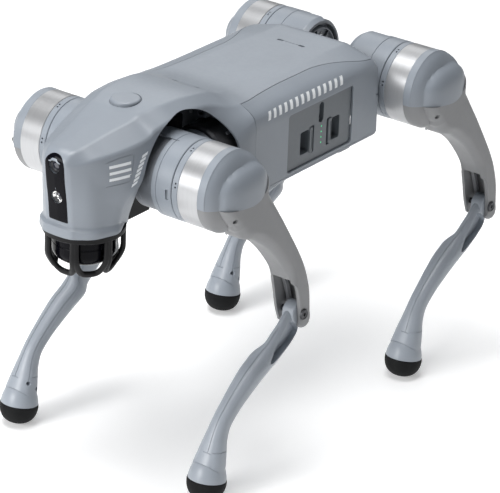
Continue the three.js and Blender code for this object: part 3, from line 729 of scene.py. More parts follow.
def head_cover():
    """Thin shell of the hood, the cheeks and the face, with its wheel arches; also the glass on the face."""
    table = [section(*row) for row in HOOD_STATIONS] + list(FACE_STATIONS)
    rows = [mirrored_half(row, SECTION_REACH, steps=5) for row in glide(table, 3)]
    head = thicken(skin("head_cover", rows, closed=False, ends=False), WALL, flip=True)
    arches = [rod("arch", "y", ARCH["r"], low, high, (ARCH["x"], ARCH["z"]), 120)
              for low, high in ((ARCH["y"], 120), (-120, -ARCH["y"]))]
    behind = block("behind", (HIP_X - 60, 241), (-100, 100), (-90, -14), edge=6)
    glass = face_glass(head)
    seat = rod("seat", "z", 17.5, 71.6, 90, (HEAD_BUTTON_X, 0))
    edges = cheek_grooves(head)
    carve(head, *arches, behind, seat, *lamp_wells(), *strap_slots(104, 40, 80), *edges)
    return head, glass


def lamp_wells():
    return [rod("well", "x", 7.3, 312, 340, (0, z)) for z in (LENS_Z, LAMP_Z)]


def cheek_grooves(head):
    """Fine line round the panel on each cheek, open towards the front."""
    corners = soften([(291, 0, 38), (274, 0, 41), (257.5, 0, 41.5), (263, 0, 12), (291, 0, 11)], (2, 4, 3),
                     steps=4, straight=5)
    cutters = []
    for side in (1, -1):
        path = [head.ray_cast(Vector((p.x, side * 200, p.z)), Vector((0, -side, 0)))[1] for p in corners]
        cutters.append(sweep("edge", path, (0.5, side * 0.86, 0.1), 0.7, (0.45, 2)))
    return cutters


def face_glass(head):
    """Black strip on the face that follows the shape of the head."""
    outline = dense(strip_outline(13, 49, -30), 1.5)
    middle = Vector((0, 9))
    rows = []
    for share in (0.03, 0.2, 0.4, 0.6, 0.75, 0.9, 0.97, 1.0):
        row = []
        for y, z in outline:
            y, z = middle.lerp(Vector((y, z)), share)
            _, spot, normal, _ = head.ray_cast(Vector((400, y, z)), Vector((-1, 0, 0)))
            row.append(spot + normal * (0.3 if share < 1 else 0.05))
        rows.append(row)
    sheet = skin("camera_strip", rows, ends=False)
    if sum(f.normal.x for f in sheet.data.polygons) < 0:
        sheet.data.flip_normals()
    return thicken(sheet, 1.6)


def arch_shade_wall():
    """Dark ribbed wall along the centre plane that closes the view through the wheel arches; its near-black is
    painted shade for the cavity behind them.
    """
    wall = block("arch_shade_wall", (128, 246), (-3.6, 3.6), (-40, 66), edge=1)
    ribs = [block("rib", (x, x + 2.4), (-4.4, 4.4), (-38, 62), edge=0.4) for x in range(138, 240, 14)]
    return join(wall, *ribs)


def bulkhead():
    """Wall behind the wheel arches, with a bracket and a tab on each side; the screws come from bulkhead_screws().
    """
    wall = block("arch_wall", (111, 114), (-70, 70), (-40, 42), edge=1)
    motors = [rod("hole", "x", 36.2, 100, 130, (side * HIP_Y, 0)) for side in (1, -1)]
    carve(wall, *motors)
    parts = []
    for side in (1, -1):
        bracket = block("bracket", (113, 124), sorted((side * 30, side * 44)), (38, 48), edge=1)
        window = block("window", (117, 130), sorted((side * 33, side * 41)), (40.5, 46.5), edge=0.6)
        tab = block("tab", (113, 121), sorted((side * 62, side * 71)), (16, 28), edge=1.5)
        parts += [carve(bracket, window), tab]
    return join(wall, *parts)


def bulkhead_screws():
    made = [shifted(screw("screw", 2.3, 1.4, "x"), 121.2, side * 66.5, 22) for side in (1, -1)]
    made += [shifted(screw("screw", 2, 1.2, "x"), 114.2, side * y, 36) for side in (1, -1) for y in (16, 60)]
    return gather("bulkhead_screws", made)


def head_back():
    """Dark plate behind the face with the bracket that carries the scanner."""
    plate = prism("head_back", rounded_box(-19, 19, -45, -8, 5), 243.5, 246, axis="x", edge=0.6)
    arm = block("arm", (180, 245), (-3.9, 3.9), (-46, -20), edge=2)
    foot = block("foot", (168, 206), (-3.9, 3.9), (-68, -40), edge=2)
    return join(plate, arm, foot)


def head_button():
    """Round cover on top of the head."""
    radius, shoulder, rounding = 17.1, 74.6, 2.6
    edge = [(radius - rounding * (1 - math.cos(a)), shoulder + rounding * math.sin(a))
            for a in quarter_turn(6, 1)]
    button = lathe("head_button", [(0, 70.4), (16.6, 70.4), (17, 70.8), (radius, shoulder), *edge, (0, 77.5)],
                   axis="z", sides=72)
    return shifted(button, HEAD_BUTTON_X, 0, 0)


# ---------------------------------------------------------------- face
def face_pieces(glass):
    """Glass strip, status line, camera and headlight."""
    carve(glass, *lamp_wells())
    on_trunk(glass, "gloss_black", GLOSS, "camera_window")
    line = block("status_line", (-1, 0.75), (-4.5, 4.5), (-0.3, 0.3), edge=0.1)
    on_trunk(on_face(line, 15.5), "lamp", INK)

    barrel = [(4.7, -2.6), (7.2, -2.6), (7.2, -0.2), (6.7, 0.5), (6.1, 0.5), (5.4, -0.6), (4.7, -1.0),
              (4.7, -2.6)]
    on_trunk(on_face(lathe("lens_barrel", barrel, axis="x", sides=64), LENS_Z), "black_plastic", DARK_METAL)
    lens = [(0, -3), (4.65, -3), *quarter_dome(4.65, -1.6, 1.5, 10)]
    on_trunk(on_face(lathe("camera_glass", lens, axis="x", sides=64), LENS_Z), "lens", LENS, "camera_lens")

    bezel = [(3.9, -2.6), (7.2, -2.6), (7.2, 0.3), (6.6, 1.1), (5.9, 1.1), (4.6, -0.6), (3.9, -1.4),
             (3.9, -2.6)]
    on_trunk(on_face(lathe("lamp_bezel", bezel, axis="x", sides=64), LAMP_Z), "lamp", CHROME)
    lamp = [(0, -3), (3.85, -3), *quarter_dome(3.85, -1.6, 2.0, 10)]
    on_trunk(on_face(lathe("lamp_lens", lamp, axis="x", sides=48), LAMP_Z), "lamp", LENS, "headlight")
    led = lathe("lamp_led", [(0, 0), (1.3, 0), *quarter_dome(1.3, 0.2, 0.7, 6)], axis="x", sides=24)
    on_trunk(on_face(led, LAMP_Z + 0.4, 0.2), "lamp", LAMP)


# ---------------------------------------------------------------- scanner
GUARD_R = 45.4
GUARD_LOOPS = 7
LOOP_STEPS = 40
LOOP_TOP = 51                    # depths below the trunk's origin: the loops start here,
LOOP_CURL = 73                   # turn inward here
LOOP_DEPTH = 43                  # and reach this much deeper than their top


def guard_loop(middle):
    """One loop: down a post, round the bottom and up the other; the share across follows a flat arc."""
    half = math.pi / GUARD_LOOPS - 0.03
    path, side = [], []
    for s in range(LOOP_STEPS + 1):
        t = s / LOOP_STEPS * 2 - 1
        share = math.copysign(abs(math.sin(math.pi / 2 * t)) ** 0.55, t)
        drop = 1 - abs(t) ** 2.4
        depth = LOOP_TOP + LOOP_DEPTH * drop ** 0.62
        radius = GUARD_R - 3.1 - max(0, depth - LOOP_CURL) ** 1.5 * 0.118
        a = middle + half * share
        path.append((radius * math.cos(a), radius * math.sin(a), -depth))
        side.append((math.cos(a), math.sin(a), -0.25))
    return tube("loop", path, 3.7, 0.8, side)


def scanner_guard():
    """Collar with a ring of U-shaped loops that curl in under the scanner."""
    collar = lathe("scanner_guard", [(39, -47.2), (GUARD_R, -47.2), (GUARD_R, -52), (GUARD_R - 0.8, -53),
                                     (40.4, -53), (39, -51), (39, -47.2)], axis="z", sides=112)
    loops = [guard_loop(2 * math.pi * n / GUARD_LOOPS) for n in range(GUARD_LOOPS)]
    struts = []
    for n in range(GUARD_LOOPS):
        a = 2 * math.pi * (n + 0.5) / GUARD_LOOPS
        path = [((GUARD_R - 3.2) * math.cos(a), (GUARD_R - 3.2) * math.sin(a), z) for z in (-51, -60, -72)]
        struts.append(tube("strut", path, 3.0, 0.85, (math.cos(a), math.sin(a), 0)))
    hanger = rod("hanger", "z", 8, -51.5, -47.2)
    spider = [turned(block("arm", (0, 41), (-3, 3), (-50.4, -47.4), edge=0.8), "Z", 120 * n + 60)
              for n in range(3)]
    join(collar, *loops, *struts, hanger, *spider)
    return shifted(collar, LIDAR_X, 0, 0)


def scanner_rotor():
    """Drum with a rounded end, a fine groove, a window and a flat on its right side."""
    low_end = [(19 + 16 * math.sin(a), -73 - 14 * math.cos(a)) for a in quarter_turn(12, 1)]
    drum = [(35, -66), (34.6, -65.4), (34.6, -64.6), (35, -64), (35, -54), (34, -52.6), (0, -52.6)]
    rotor = lathe("scanner_rotor", [(0, -87), *low_end, *drum], axis="z", sides=96)
    window = prism("window", rounded_box(-11, 11, -78, -58, 4), 24, 40)
    side_flat = block("flat", (-8, 8), (-40, -32.6), (-82, -58), edge=2)
    return shifted(carve(rotor, window, side_flat), LIDAR_X, 0, 0)


# ---------------------------------------------------------------- battery
def key_outline(gap, corner, steps):
    """Outline of the power key with a gap round it; its ends are round up to corner."""
    x, z = BUTTON["x"], BUTTON["z"]
    half_w, half_h = BUTTON["width"] / 2 + gap, BUTTON["height"] / 2 + gap
    return rounded_box(x - half_w, x + half_w, z - half_h, z + half_h, half_w - corner, steps)


def battery_pieces():
    """Battery with its door in the left side, two pinched latches, a power key and charge lights."""
    x0, x1 = BATTERY_X
    z0, z1 = BATTERY_Z
    door = prism("battery_door", rounded_box(x0, x1, z0, z1, 4), SIDE_Y - 4, SIDE_Y, edge=0.5)
    body = block("body", (x0 + 6, x1 - 1.4), (-58, SIDE_Y - 3), (z0 + 0.2, z1 - 0.2), edge=2)
    join(door, body)
    out = SIDE_Y + 5
    deep = SIDE_Y - POCKET_DEPTH
    low, high = LEVER_Z
    cutters = [prism("pocket", rounded_box(*x, *POCKET_Z, 2.4), deep, out) for x in POCKETS_X]
    # Each lever's slot is longer on the side it is pinched towards.
    for (a, b), (before, after) in zip(LEVERS_X, ((LEVER_TRAVEL, 0.5), (0.5, LEVER_TRAVEL))):
        slot = rounded_box(a - before, b + after, low - 0.7, high + 0.7, 2.2)
        cutters.append(prism("slot", slot, deep, out))
    cutters.append(prism("well", key_outline(0.5, 0.1, 8), SIDE_Y - 8, out))
    cutters += [rod("hole", "y", 1.1, SIDE_Y - 2, out, (LED_X, dot), 20) for dot in LED_Z]
    # The door, its latches and its key take the door paint, whose darkness is partly painted shade.
    settle(carve(door, *cutters), TRUNK, "battery", DOOR_PAINT_AND_SHADE, ["battery_pack"])

    for (a, b), name in zip(LEVERS_X, ("front", "rear")):
        lever = prism(f"latch_{name}_lever", rounded_box(a, b, low, high, 2.2), deep + 0.8, SIDE_Y + 1.1,
                      edge=1.1)
        grip = prism("grip", rounded_box(a + 1.5, b - 1.5, low + 4, high - 4, 1.3), SIDE_Y + 0.6, SIDE_Y + 3)
        settle(carve(lever, grip), TRUNK, f"latch_{name}", DOOR_PAINT_AND_SHADE, [f"battery_latch_{name}"])

    key = prism("power_key", key_outline(0, 0.05, 10), SIDE_Y - 6.4, SIDE_Y - 3.7, edge=1.4)
    dish = moved(lathe("dish", [(0, -9), (5.2, -9), (6.4, 0), (0, 0)], sides=48),
                 Matrix.Translation((BUTTON["x"], SIDE_Y + 3.6, BUTTON["z"])) @ Matrix.Scale(1.7, 4, (0, 0, 1)))
    settle(carve(key, dish), TRUNK, "power_button", DOOR_PAINT_AND_SHADE, ["power_button"])

    dot = [(0, SIDE_Y - 1.9), (1.0, SIDE_Y - 1.9), (1.0, SIDE_Y - 0.25), (0.7, SIDE_Y), (0, SIDE_Y + 0.12)]
    dots = [shifted(lathe("dot", dot, sides=20), LED_X, 0, z) for z in LED_Z]
    settle(gather("charge_lights", dots), TRUNK, "battery", GREEN, ["battery_led_strip"])


# ---------------------------------------------------------------- leg, in the frame of each link
def screw(name, radius=2.2, height=1.2, axis="y"):
    """Button-head screw with a hexagon socket, its seat at the origin and its head along the axis."""
    rim = height * 0.4
    head = [(0, -0.4), (radius, -0.4), (radius, rim), *quarter_dome(radius, rim, height * 0.6, 5)[1:-1]]
    made = lathe(name, [*head, (0, height)], axis=axis, sides=32)
    return carve(made, prism("socket", circle(radius * 0.5, 6), height * 0.2, height + 2, axis=axis))


def hip_pieces():
    """Hip housing, of a sleeve, a saddle behind it and a flange towards the hip drive, and its dark core."""
    sleeve = [(20, 38), (DRUM_R - 6, 38), (DRUM_R - 6, 59.6), (DRUM_R - 1.2, 59.9), (DRUM_R, 61.2),
              (DRUM_R, 66.6), (DRUM_R - 0.7, 67), (DRUM_R - 0.7, 67.5), (DRUM_R, 67.9), (DRUM_R, 86.3),
              (DRUM_R - 0.6, 87.2), (20, 87.2)]
    housing = lathe("hip_sleeve", sleeve, sides=120)
    saddle = lathe("saddle", [(DRUM_R - 7, 36), (DRUM_R - 5, 31), (DRUM_R - 3.4, 30.3), (DRUM_R - 0.5, 35.4),
                              (DRUM_R, 37), (DRUM_R, 62), (DRUM_R - 7, 62)], sides=64, sweep=180, start=76)
    flange = lathe("flange", [(0, -52.2), (30, -52.2), (31, -51.2), (31, -44), (28.5, -42), (28.5, -20),
                              (0, -20)], axis="x", sides=72)
    join(housing, saddle, shifted(flange, 0, HIP_Y, 0))
    slit = block("slit", (11.4, 12.6), (46, 71), (40, 50))
    pocket = block("pocket", (44, 60), (80, 84.5), (-9, 3), edge=1)
    core = lathe("core", [(0, 31), (34, 31), (36, 33), (36, 37), (DRUM_R - 7, 37.6), (DRUM_R - 7, 30.5),
                          (DRUM_R - 4.4, 30.5), (DRUM_R - 2.6, 33), (DRUM_R - 2.6, 60.4), (0, 60.4)], sides=96)
    recess = lathe("recess", [(0, 25), (33, 25), (33, 35.5), (0, 35.5)], sides=72)
    ribs = [turned(block("rib", (10, 33.5), (33, 36.5), (-1.2, 1.2), edge=0.4), "Y", a)
            for a in range(0, 360, 45)]
    hub = lathe("hub", [(0, 36), (11, 36), (11, 33), (10, 32.2), (0, 32.2)], sides=48)
    carve(core, recess)
    join(core, hub, *ribs)
    return carve(housing, slit, pocket), core


def inward_screws(name, radius, y, places):
    """Screws with their heads towards the trunk, at places given as (x, z)."""
    return gather(name, [shifted(turned(screw("screw", radius), "X", 180), x, y, z) for x, z in places])


def hip_screws():
    turns = [math.radians(a) for a in range(22, 382, 45)]
    return inward_screws("hip_screws", 2.4, 35.6, [(26 * math.cos(a), 26 * math.sin(a)) for a in turns])


def motor_pieces():
    """Knee drive casing: a painted ring with pairs of small holes, and a bright turned band."""
    ring = lathe("drive_ring", [(30, 88), (DRUM_R - 0.9, 88), (DRUM_R - 0.2, 88.6), (DRUM_R - 0.2, 95.3),
                                (DRUM_R - 0.7, 95.8), (30, 95.8)], sides=120)
    holes = [turned(rod("hole", "x", 1.15, 42, 50, (92.6, 0), 16), "Y", -(a + shift))
             for a in (-10, 45, 100, 160, 220, 290) for shift in (-2.6, 2.6)]
    band = lathe("drive_band", [(30, 95.9), (DRUM_R - 0.6, 95.9), (DRUM_R, 96.5), (DRUM_R, 122.5),
                                (30, 122.5)], sides=120)
    return carve(ring, *holes), band


THIGH_FRONT = ((43, -26), (33, -45), (14, -64), (2, -88), (-7, -128), (-8.5, -148), (-1, -177), (8.5, -205),
               (12, -222))
THIGH_BACK = ((-13, -221), (-24, -200), (-32.5, -170), (-35, -130), (-34, -80), (-33.5, -34))


def thigh_outline(inset=0.0):
    """Outline of the thigh seen from outside: the drum, a waisted blade and a rounded knee."""
    front = glide(THIGH_FRONT, 4)
    tip = [((1 - t) ** 2 * 12 + 2 * t * (1 - t) * 9 - 3 * t * t,
            -(1 - t) ** 2 * 222 - 2 * t * (1 - t) * 235 - 234 * t * t) for t in (s / 8 for s in range(1, 9))]
    heel = glide(((-3, -234), (-9, -229.5), (-13, -221)), 2)[1:-1]
    back = glide(THIGH_BACK, 5)
    # The drum's arc runs from where the back line ends to where the front line starts.
    start, end = 180 + math.degrees(math.asin(33.5 / 47)), -math.degrees(math.asin(26 / 50))
    radius = DRUM_R + 0.4
    drum = [(radius * math.cos(math.radians(a)), radius * math.sin(math.radians(a)))
            for a in np.linspace(start, end, 60)[1:-1]]
    points = np.array([*front, *tip, *heel, *back, *drum])
    if not inset:
        return points
    along = np.roll(points, -1, 0) - np.roll(points, 1, 0)
    along /= np.linalg.norm(along, axis=1)[:, None]
    return points - np.stack([-along[:, 1], along[:, 0]], 1) * inset


CAP_TILT = 37                    # degrees of the cap's lower edge, against the thigh
CAP_LINE = ((300, -12), (-10, -12), (-24, -9), (-35, -1), (-43, 11), (-48, 28), (-60, 60))


def beyond_cap_line(name, above, offset=0.0):
    """Everything above or below the line where the cap meets the thigh; it curves up at the rear."""
    line = soft_outline([(x, z + offset) for x, z in CAP_LINE], (4, 8, 8, 8, 8))
    far = [(-60, 300), (300, 300)] if above else [(-300, 60), (-300, -300), (300, -300)]
    slab = prism(name, line + far, 100, 180)
    return turned(slab, "Y", -CAP_TILT)


def drum_height(radius):
    """Outer face of the drum's end, a shallow bowl shared by the thigh and its cap."""
    return 127 + 18 * max(1 - (radius / 47)**3, 0) ** 0.5


def narrow_root(outline):
    """The outline with its front drawn in beside the drum, where the blade grows out of the bowl."""
    made = outline.copy()
    drawn = np.clip((made[:, 1] + 78) / 45, 0, 1) * (made[:, 0] > 0)
    made[:, 0] *= 1 - 0.3 * drawn
    return made


def thigh_shell():
    """Light grey outer shell: a rounded blade under the drum's bowl, hollow behind, open towards the calf."""
    outline = narrow_root(thigh_outline())
    front = np.interp(outline[:, 1], (-225, -190, -150, -80, -30), (5, 7, 12, 13, 12))
    back = np.interp(outline[:, 1], (-225, -150, -80, -20), (5, 7, 8, 14))
    edge = front + (back - front) * np.clip((8 - outline[:, 0]) / 30, 0, 1)
    shell = prism("thigh_blade", outline, SHELL_Y[0], SHELL_Y[1], edge=edge, steps=7)
    bowl = [(DRUM_R * s / 40, drum_height(DRUM_R * s / 40)) for s in range(41)]
    root = lathe("root", [(0, COVER_Y[0]), (DRUM_R, COVER_Y[0]), *reversed(bowl)], sides=120)
    join(shell, root)
    inner = narrow_root(thigh_outline(3.4))
    cavity = prism("cavity", inner, 110, 137)
    blade_cavity = prism("cavity", inner, 110, SHELL_Y[1] - 4.4, edge=np.maximum(edge - 1, 3), steps=7)
    blade_cavity = carve(blade_cavity, block("keep", (-90, 90), (100, 170), (-100, 90)))
    root_cavity = rod("hollow", "y", DRUM_R - 4.6, 112, 133.6, sides=96)
    mouth = block("mouth", (-14, 40), (110, 150.2), (-240, -160), edge=3)
    scoop = prism("scoop", soft_outline([(30, -158), (-2, -160), (-10, -172), (-5, -190), (3, -208),
                                         (10, -222), (30, -223)], (6, 8, 10, 10, 6)), 110, 170)
    knee_room = rod("room", "y", 13.6, 110, 150.2, KNEE)
    bolt_hole = rod("hole", "y", BOLT_R + GAP, 140, 165, KNEE)
    head_seat = rod("seat", "y", 7, SHELL_Y[1] - 0.8, 170, KNEE)
    seat = shifted(lathe("seat", [(0, 8), (3.6, 8), (2.7, -0.8), (2.4, -1.4), (2.4, -6), (0, -6)], sides=40),
                   27, SHELL_Y[1] - 3.2, -11)
    return carve(shell, cavity, blade_cavity, root_cavity, mouth, scoop, knee_room, bolt_hole, head_seat, seat,
                 beyond_cap_line("above", True))


def thigh_plate():
    """Flat inner side of the thigh, with a shallow relief."""
    plate = prism("thigh_plate", thigh_outline(0.6), COVER_Y[0], COVER_Y[1], edge=0.8, both=True, steps=2)
    clear = rod("clear", "y", DRUM_R + 0.9, 100, 140, sides=120)
    bolt_hole = rod("hole", "y", BOLT_R + GAP, 110, 140, KNEE)
    panel = soft_outline([(-14, -60), (-1, -84), (-8, -128), (-6, -168), (-20, -168), (-28, -130),
                          (-28.5, -62), (-14, -60)], (4, 8, 5, 4, 8, 4), steps=4)
    relief = prism("relief", panel[:-1], 118, COVER_Y[0] + 0.9)
    above = block("above", (-90, 90), (100, 150), (-62, 90))
    return carve(plate, clear, bolt_hole, relief, above)


def cap_height(x, z):
    """How far out the cap stands at a place across the drum: a rounded drum end under a large dome."""
    drum = drum_height(math.hypot(x, z))
    a = math.radians(CAP_TILT - 5)
    across, up = x * math.cos(a) + z * math.sin(a), -x * math.sin(a) + z * math.cos(a)
    q = abs((across + 8) / 40) ** 2.4 + abs(max(up - 2, 0) / 28) ** 2.4
    dome = 140 + (HUB_Y - 0.4 - 140) * max(1 - q, 0) ** 0.5 - 8 * min(max(q - 1, 0), 1)
    # The larger of the two, with a soft change from one to the other.
    soft = 1.3
    return soft * math.log(math.exp((drum - 140) / soft) + math.exp((dome - 140) / soft)) + 140


def thigh_cap():
    """Blue-grey cap over the drum, above the line where the thigh begins."""
    rings, turns = 34, full_turn(120)
    rows = [[(DRUM_R * math.cos(a), COVER_Y[0], DRUM_R * math.sin(a)) for a in turns]]
    for r in range(rings + 1):
        share = math.cos(math.pi / 2 * r / (rings + 0.4))
        radius = (DRUM_R + 0.3) * share
        row = []
        for a in turns:
            x, z = radius * math.cos(a), radius * math.sin(a)
            row.append((x, min(cap_height(x, z), HUB_Y), z))
        rows.append(row)
    cap = skin("thigh_dome", rows)
    hollow = lathe("hollow", [(0, 118), (DRUM_R - 4, 118), (DRUM_R - 4, 130), (DRUM_R - 9, 136), (24, 139),
                              (0, 139)], sides=72)
    return carve(cap, hollow, beyond_cap_line("below", False, 0.1))


def knee_bolt():
    """Pivot bolt through the thigh's lower end, with a dished head."""
    shaft = rod("shaft", "y", BOLT_R, COVER_Y[0] - 0.4, HUB_Y - 1.4)
    head = lathe("pivot_bolt", [(0, 154.6), (6.3, 154.6), (6.3, 156.4), (6.0, 157), (5.2, 157.4), (4.4, 157),
                                (4.1, 156.7), (0, 156.7)], sides=64)
    join(head, shaft)
    carve(head, prism("socket", circle(2.4, 6), 154.9, 160))
    return shifted(head, 0, 0, -THIGH_LENGTH)


# Calf sections: distance below the knee, centre forward and across, half depth, half width.
CALF_STATIONS = (
    (4, -1, 141.8, 12.5, 7.2), (20, -3, 141.8, 18, 7.4), (34, -1, 141.4, 18, 7.8), (50, 2.4, 140.6, 16.6, 8.8),
    (60, 5, 137.8, 15.6, 12.4), (70, 8.4, CALF_Y, 14.4, 13.6), (85, 14, CALF_Y, 13.9, 13.4),
    (106, 19.4, CALF_Y, 12.6, 12.4), (128, 23.6, CALF_Y, 11.3, 11.2), (149, 25.4, CALF_Y, 10.7, 10.8),
    (165, 21.8, CALF_Y, 12.4, 12), (181, 15, CALF_Y, 15.4, 15.4), (192, 10.4, CALF_Y, 17, 17.6),
    (202, 7.4, CALF_Y, 17.6, 19),
)
SEAM_TURNS = (8, -52)            # degrees from the front, where the parting lines run
# Holes across the calf: distance below the knee, turn in degrees, radius, ends across and sides.
CALF_HOLES = (
    (96, 215, 1.7, -8, 8, 24), (132, 215, 1.7, -8, 8, 24), (160, 215, 1.7, -8, 8, 24),
    (190, 256, 2.5, -5, 7, 28), (190, 304, 2.5, -5, 7, 28),
)


def calf_point(row, turn, extra=0.0):
    """Point on the calf's surface: turn is 0 at the front and 90 degrees on the outer side."""
    d, x, y, depth, width = row
    c, s = math.cos(turn), math.sin(turn)
    c, s = math.copysign(abs(c) ** 0.88, c), math.copysign(abs(s) ** 0.88, s)
    return Vector((x + (depth + extra) * c, y + (width + extra) * s, -d))


def calf_row(rows, distance):
    """The section at a distance below the knee."""
    starts = [row[0] for row in rows]
    return tuple(float(np.interp(distance, starts, column)) for column in zip(*rows))


def calf_groove(name, rows, turns, width, reach):
    """Cutter for a line on the calf's surface, with a section and a turn for each of its points."""
    spots = [calf_point(row, a) for row, a in zip(rows, turns)]
    away = [(calf_point(row, a, 1) - spot).normalized() for row, a, spot in zip(rows, turns, spots)]
    return sweep(name, spots, away, width, reach)


def calf_pieces(length):
    """Calf in one piece: its shell, the knee's eye, the pin of the push rod and the cup over the foot."""
    rows = [tuple(row) for row in glide(CALF_STATIONS, 3.5)]
    calf = skin("calf_shell", [[calf_point(row, a) for a in full_turn(56)] for row in rows])
    head = lathe("head", [(0, 134.2), (12, 134.2), (12.8, 135), (12.8, 148.6), (12, 149.4), (0, 149.4)],
                 sides=64)
    pin = shifted(rod("pin", "y", 1.25, 132.8, 137, sides=20), 0, 0, 9.3)
    cup = lathe("cup", [(0, 24), (11, 24), (15.5, 21.5), (18.4, 17), (20.2, 12), (21.3, 7), (21.9, 2.6),
                        (10, 2.6), (0, 2.6)], axis="z", sides=88)
    join(calf, head, pin, shifted(turned(cup, "Y", FOOT_LEAN), 0, CALF_Y, -length))

    seam_rows = [row for row in rows if 24 < row[0] < 190]
    cutters = [calf_groove("seam", seam_rows, [math.radians(turn)] * len(seam_rows), 0.7, (0.7, 2))
               for turn in SEAM_TURNS]
    cross = [math.radians(a) for a in range(-6, 23, 4)]
    cutters.append(calf_groove("cross", [seam_rows[-1]] * len(cross), cross, 0.9, (0.8, 2)))
    around = [math.radians(a) for a in range(28, 302, 6)]
    ankle = [calf_row(rows, 179 + 9 * math.cos(a)) for a in around]
    cutters.append(calf_groove("ankle", ankle, around, 0.7, (0.7, 2)))
    hollow = soft_outline([(-6, -13), (-17, -14), (-17.5, -28), (-8, -48), (3, -66), (9.5, -68), (11.5, -42),
                           (9, -14), (-6, -13)], (3, 8, 12, 6, 5, 12, 4), steps=6)
    cutters.append(prism("hollow", hollow[:-1], 139.6, 160))
    for distance, turn, radius, low, high, sides in CALF_HOLES:
        spot = calf_point(calf_row(rows, distance), math.radians(turn))
        cutters.append(shifted(rod("hole", "y", radius, low, high, sides=sides), *spot))
    cutters.append(rod("bore", "y", BOLT_R + GAP, 110, 170))
    cutters.append(shifted(foot_body(GAP), 0, CALF_Y, -length))
    return carve(calf, *cutters)


def foot_body(extra=0.0):
    """Rubber foot, a flattened cup whose axis leans forward of the calf's; extra makes it larger all round."""
    radius = FOOT_R + extra
    bowl = [(radius * math.sin(a) ** 0.78, 1 - radius * math.cos(a) ** 0.86) for a in quarter_turn(20)]
    rim = [(r + extra, z + extra) for r, z in ((22.3, 2.2), (21.6, 2.5), (18, 2.5), (17.6, 11))]
    body = lathe("foot_tread", [*bowl, *rim, (0, 11 + extra)], axis="z", sides=88)
    return turned(body, "Y", FOOT_LEAN)


def add_leg(name, end, side, shapes):
    """One leg from copies of the shapes, which are drawn once and mirrored by the leg's frames."""
    hip, thigh, calf, length = leg_frames(name, end, side)

    def put(shape, place, body, slot, material, *replaced):
        piece = copy(shapes[shape], f"{name}_{shapes[shape].name}")
        settle(piece, place, f"{name}_{body}", material, [f"{name}_{node}" for node in replaced])
        return piece

    put("sleeve", hip, "hip", "hip_cover", BODY, "hip_housing")
    put("core", hip, "hip", "frame_metal", FRAME_PAINT)
    put("hip_screws", hip, "hip", "steel", STEEL)
    put("ring", thigh, "thigh", "hip_cover", BODY, "knee_motor")
    put("band", thigh, "thigh", "silver_metal", SILVER)
    put("blade", thigh, "thigh", "thigh_grey", THIGH_PAINT, "thigh_shell")
    put("plate", thigh, "thigh", "thigh_grey", THIGH_PAINT, "thigh_cover")
    put("plate_screws", thigh, "thigh", "steel", STEEL)
    put("dome", thigh, "thigh", "body_cover", BODY, "thigh_cap")
    put("seat_screw", thigh, "thigh", "steel", STEEL)
    put("bolt", thigh, "thigh", "steel", DARK_METAL, "knee_bolt")
    put("calf", calf, "calf", "calf_cover", CALF_PAINT, "calf")
    put("foot", calf @ Matrix.Translation((0, CALF_Y * MM, -length * MM)), "calf", "rubber", RUBBER, "foot")


def add_legs():
    sleeve, core = hip_pieces()
    ring, band = motor_pieces()
    _, _, calf_place, length = leg_frames(*LEGS[0])
    # The feet are flattened where they stand.
    ground = block("ground", (-60, 60), (-60, 60), (-60, -FOOT_DROP))
    foot = carve(foot_body(), moved(ground, calf_place.to_3x3().normalized().inverted().to_4x4()))
    plate_screws = inward_screws("plate_screws", 2.1, COVER_Y[0] + 0.1,
                                 ((-24, -46), (22, -50), (-27, -104), (-26, -158), (-16, -196)))
    shapes = {
        "sleeve": sleeve, "core": core, "hip_screws": hip_screws(), "ring": ring, "band": band,
        "blade": thigh_shell(), "plate": thigh_plate(), "dome": thigh_cap(), "bolt": knee_bolt(),
        "plate_screws": plate_screws,
        "seat_screw": shifted(screw("seat_screw", 2.2), 27, SHELL_Y[1] - 6.6, -11),
        "calf": calf_pieces(length), "foot": foot,
    }
    for name, end, side in LEGS:
        add_leg(name, end, side, shapes)
    for shape in shapes.values():
        bpy.data.objects.remove(shape)


# ---------------------------------------------------------------- printed marks
INK_PROUD = 0.06
INK_THICKNESS = 0.12
MARK_GRID = (8, 12)              # steps along and across each mark


def printed(name, target, outlines, side):
    """Thin ink shapes, drawn in X and Z and laid on the outer surface of a piece from its side."""
    into_target = target.matrix_world.inverted()
    pieces = []
    for outline in outlines:
        points = np.array(outline, float)
        rows = []
        for s in range(MARK_GRID[0] + 1):
            start = points[0] + (points[3] - points[0]) * s / MARK_GRID[0]
            end = points[1] + (points[2] - points[1]) * s / MARK_GRID[0]
            row = []
            for q in range(MARK_GRID[1] + 1):
                x, z = start + (end - start) * q / MARK_GRID[1]
                origin = TRUNK @ (Vector((x, side * 200, z)) * MM)
                hit, spot, normal, _ = target.ray_cast(into_target @ origin, Vector((0, -side, 0)))
                if not hit:
                    raise ValueError(f"{name} misses its piece")
                row.append((TRUNK.inverted() @ (spot + normal * INK_PROUD * MM)) / MM)
            rows.append(row)
        sheet = skin("mark", rows, closed=False, ends=False)
        facing = sum((f.normal.y for f in sheet.data.polygons)) * side
        pieces.append(thicken(sheet, INK_THICKNESS, flip=facing < 0))
    on_trunk(gather(name, pieces), "lamp", INK)


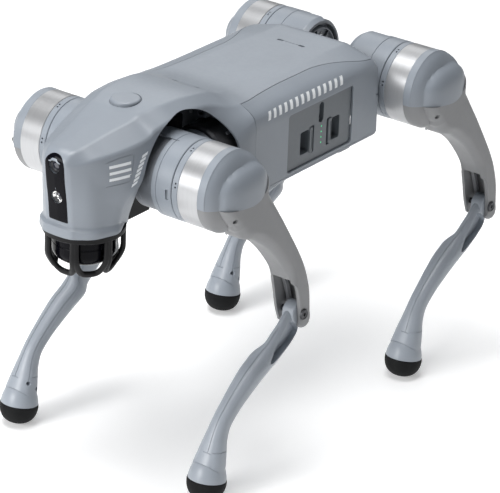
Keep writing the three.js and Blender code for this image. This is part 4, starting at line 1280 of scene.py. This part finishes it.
def slanted(x0, x1, z0, z1, lean):
    """Corners of a bar whose upper edge is shifted by lean."""
    return [(x0, z0), (x1, z0), (x1 + lean, z1), (x0 + lean, z1)]


def add_marks(trunk, head):
    """Plain bars where the machine carries its printing."""
    for side, word in ((1, "left"), (-1, "right")):
        bars = [slanted(x, x - 5, 32.6, 41.4, -4.5) for x in np.arange(74, -66, -10.6)]
        printed(f"side_stripe_{word}", trunk, bars, side)
        panel = [slanted(288, 262, z, z + 3.2, 0) for z in (31, 23.8, 16.6)]
        printed(f"cheek_bars_{word}", head, panel, side)
        hatch = []
        for n in range(7):
            z = 38 - n * 4.9
            x = 239.4 + 14 * (n / 6) ** 0.9
            hatch.append([(x + 8.5, z - 4.6), (x + 0.6, z - 1.9), (x - 0.6, z + 1.6), (x + 7.3, z - 1.1)])
        printed(f"cheek_hatch_{word}", head, hatch, side)


# ---------------------------------------------------------------- assembly
def finish_frame_nodes():
    """Finishes for the CAD pieces that are shown as they are."""
    for node, obj in frame["nodes"].items():
        if node.endswith(("knee_crank", "push_rod")):
            material = STEEL
        elif node.endswith("hip_motor") or node == "main_frame":
            material = DARK_METAL
        else:
            # the other inner pieces are near-black, painted shade for the inside
            material = INSIDE_SHADE_BLACK
        obj.data.materials.clear()
        obj.data.materials.append(material)


add_camera()
add_studio()
finish_frame_nodes()
trunk_piece = on_trunk(trunk_cover(), "body_cover", BODY, "trunk_shell")
on_trunk(belly_cover(), "body_cover", BODY, "belly_pan")
on_trunk(belly_pad(), "black_plastic", BLACK)
head_skin, strip = head_cover()
head_piece = on_trunk(head_skin, "body_cover", BODY, "head_shell")
# near-black wall behind the wheel arches: painted shade
on_trunk(arch_shade_wall(), "black_plastic", INSIDE_SHADE_BLACK)
on_trunk(bulkhead(), "frame_metal", FRAME_PAINT)
on_trunk(bulkhead_screws(), "steel", STEEL)
on_trunk(head_back(), "black_plastic", BLACK)
on_trunk(head_button(), "body_cover", BODY, "head_disc")
face_pieces(strip)
on_trunk(scanner_guard(), "black_plastic", BLACK, "lidar_guard")
settle(scanner_rotor(), TRUNK, "lidar_rotor", GLOSS, ["lidar_rotor"])
battery_pieces()
add_legs()
add_marks(trunk_piece, head_piece)
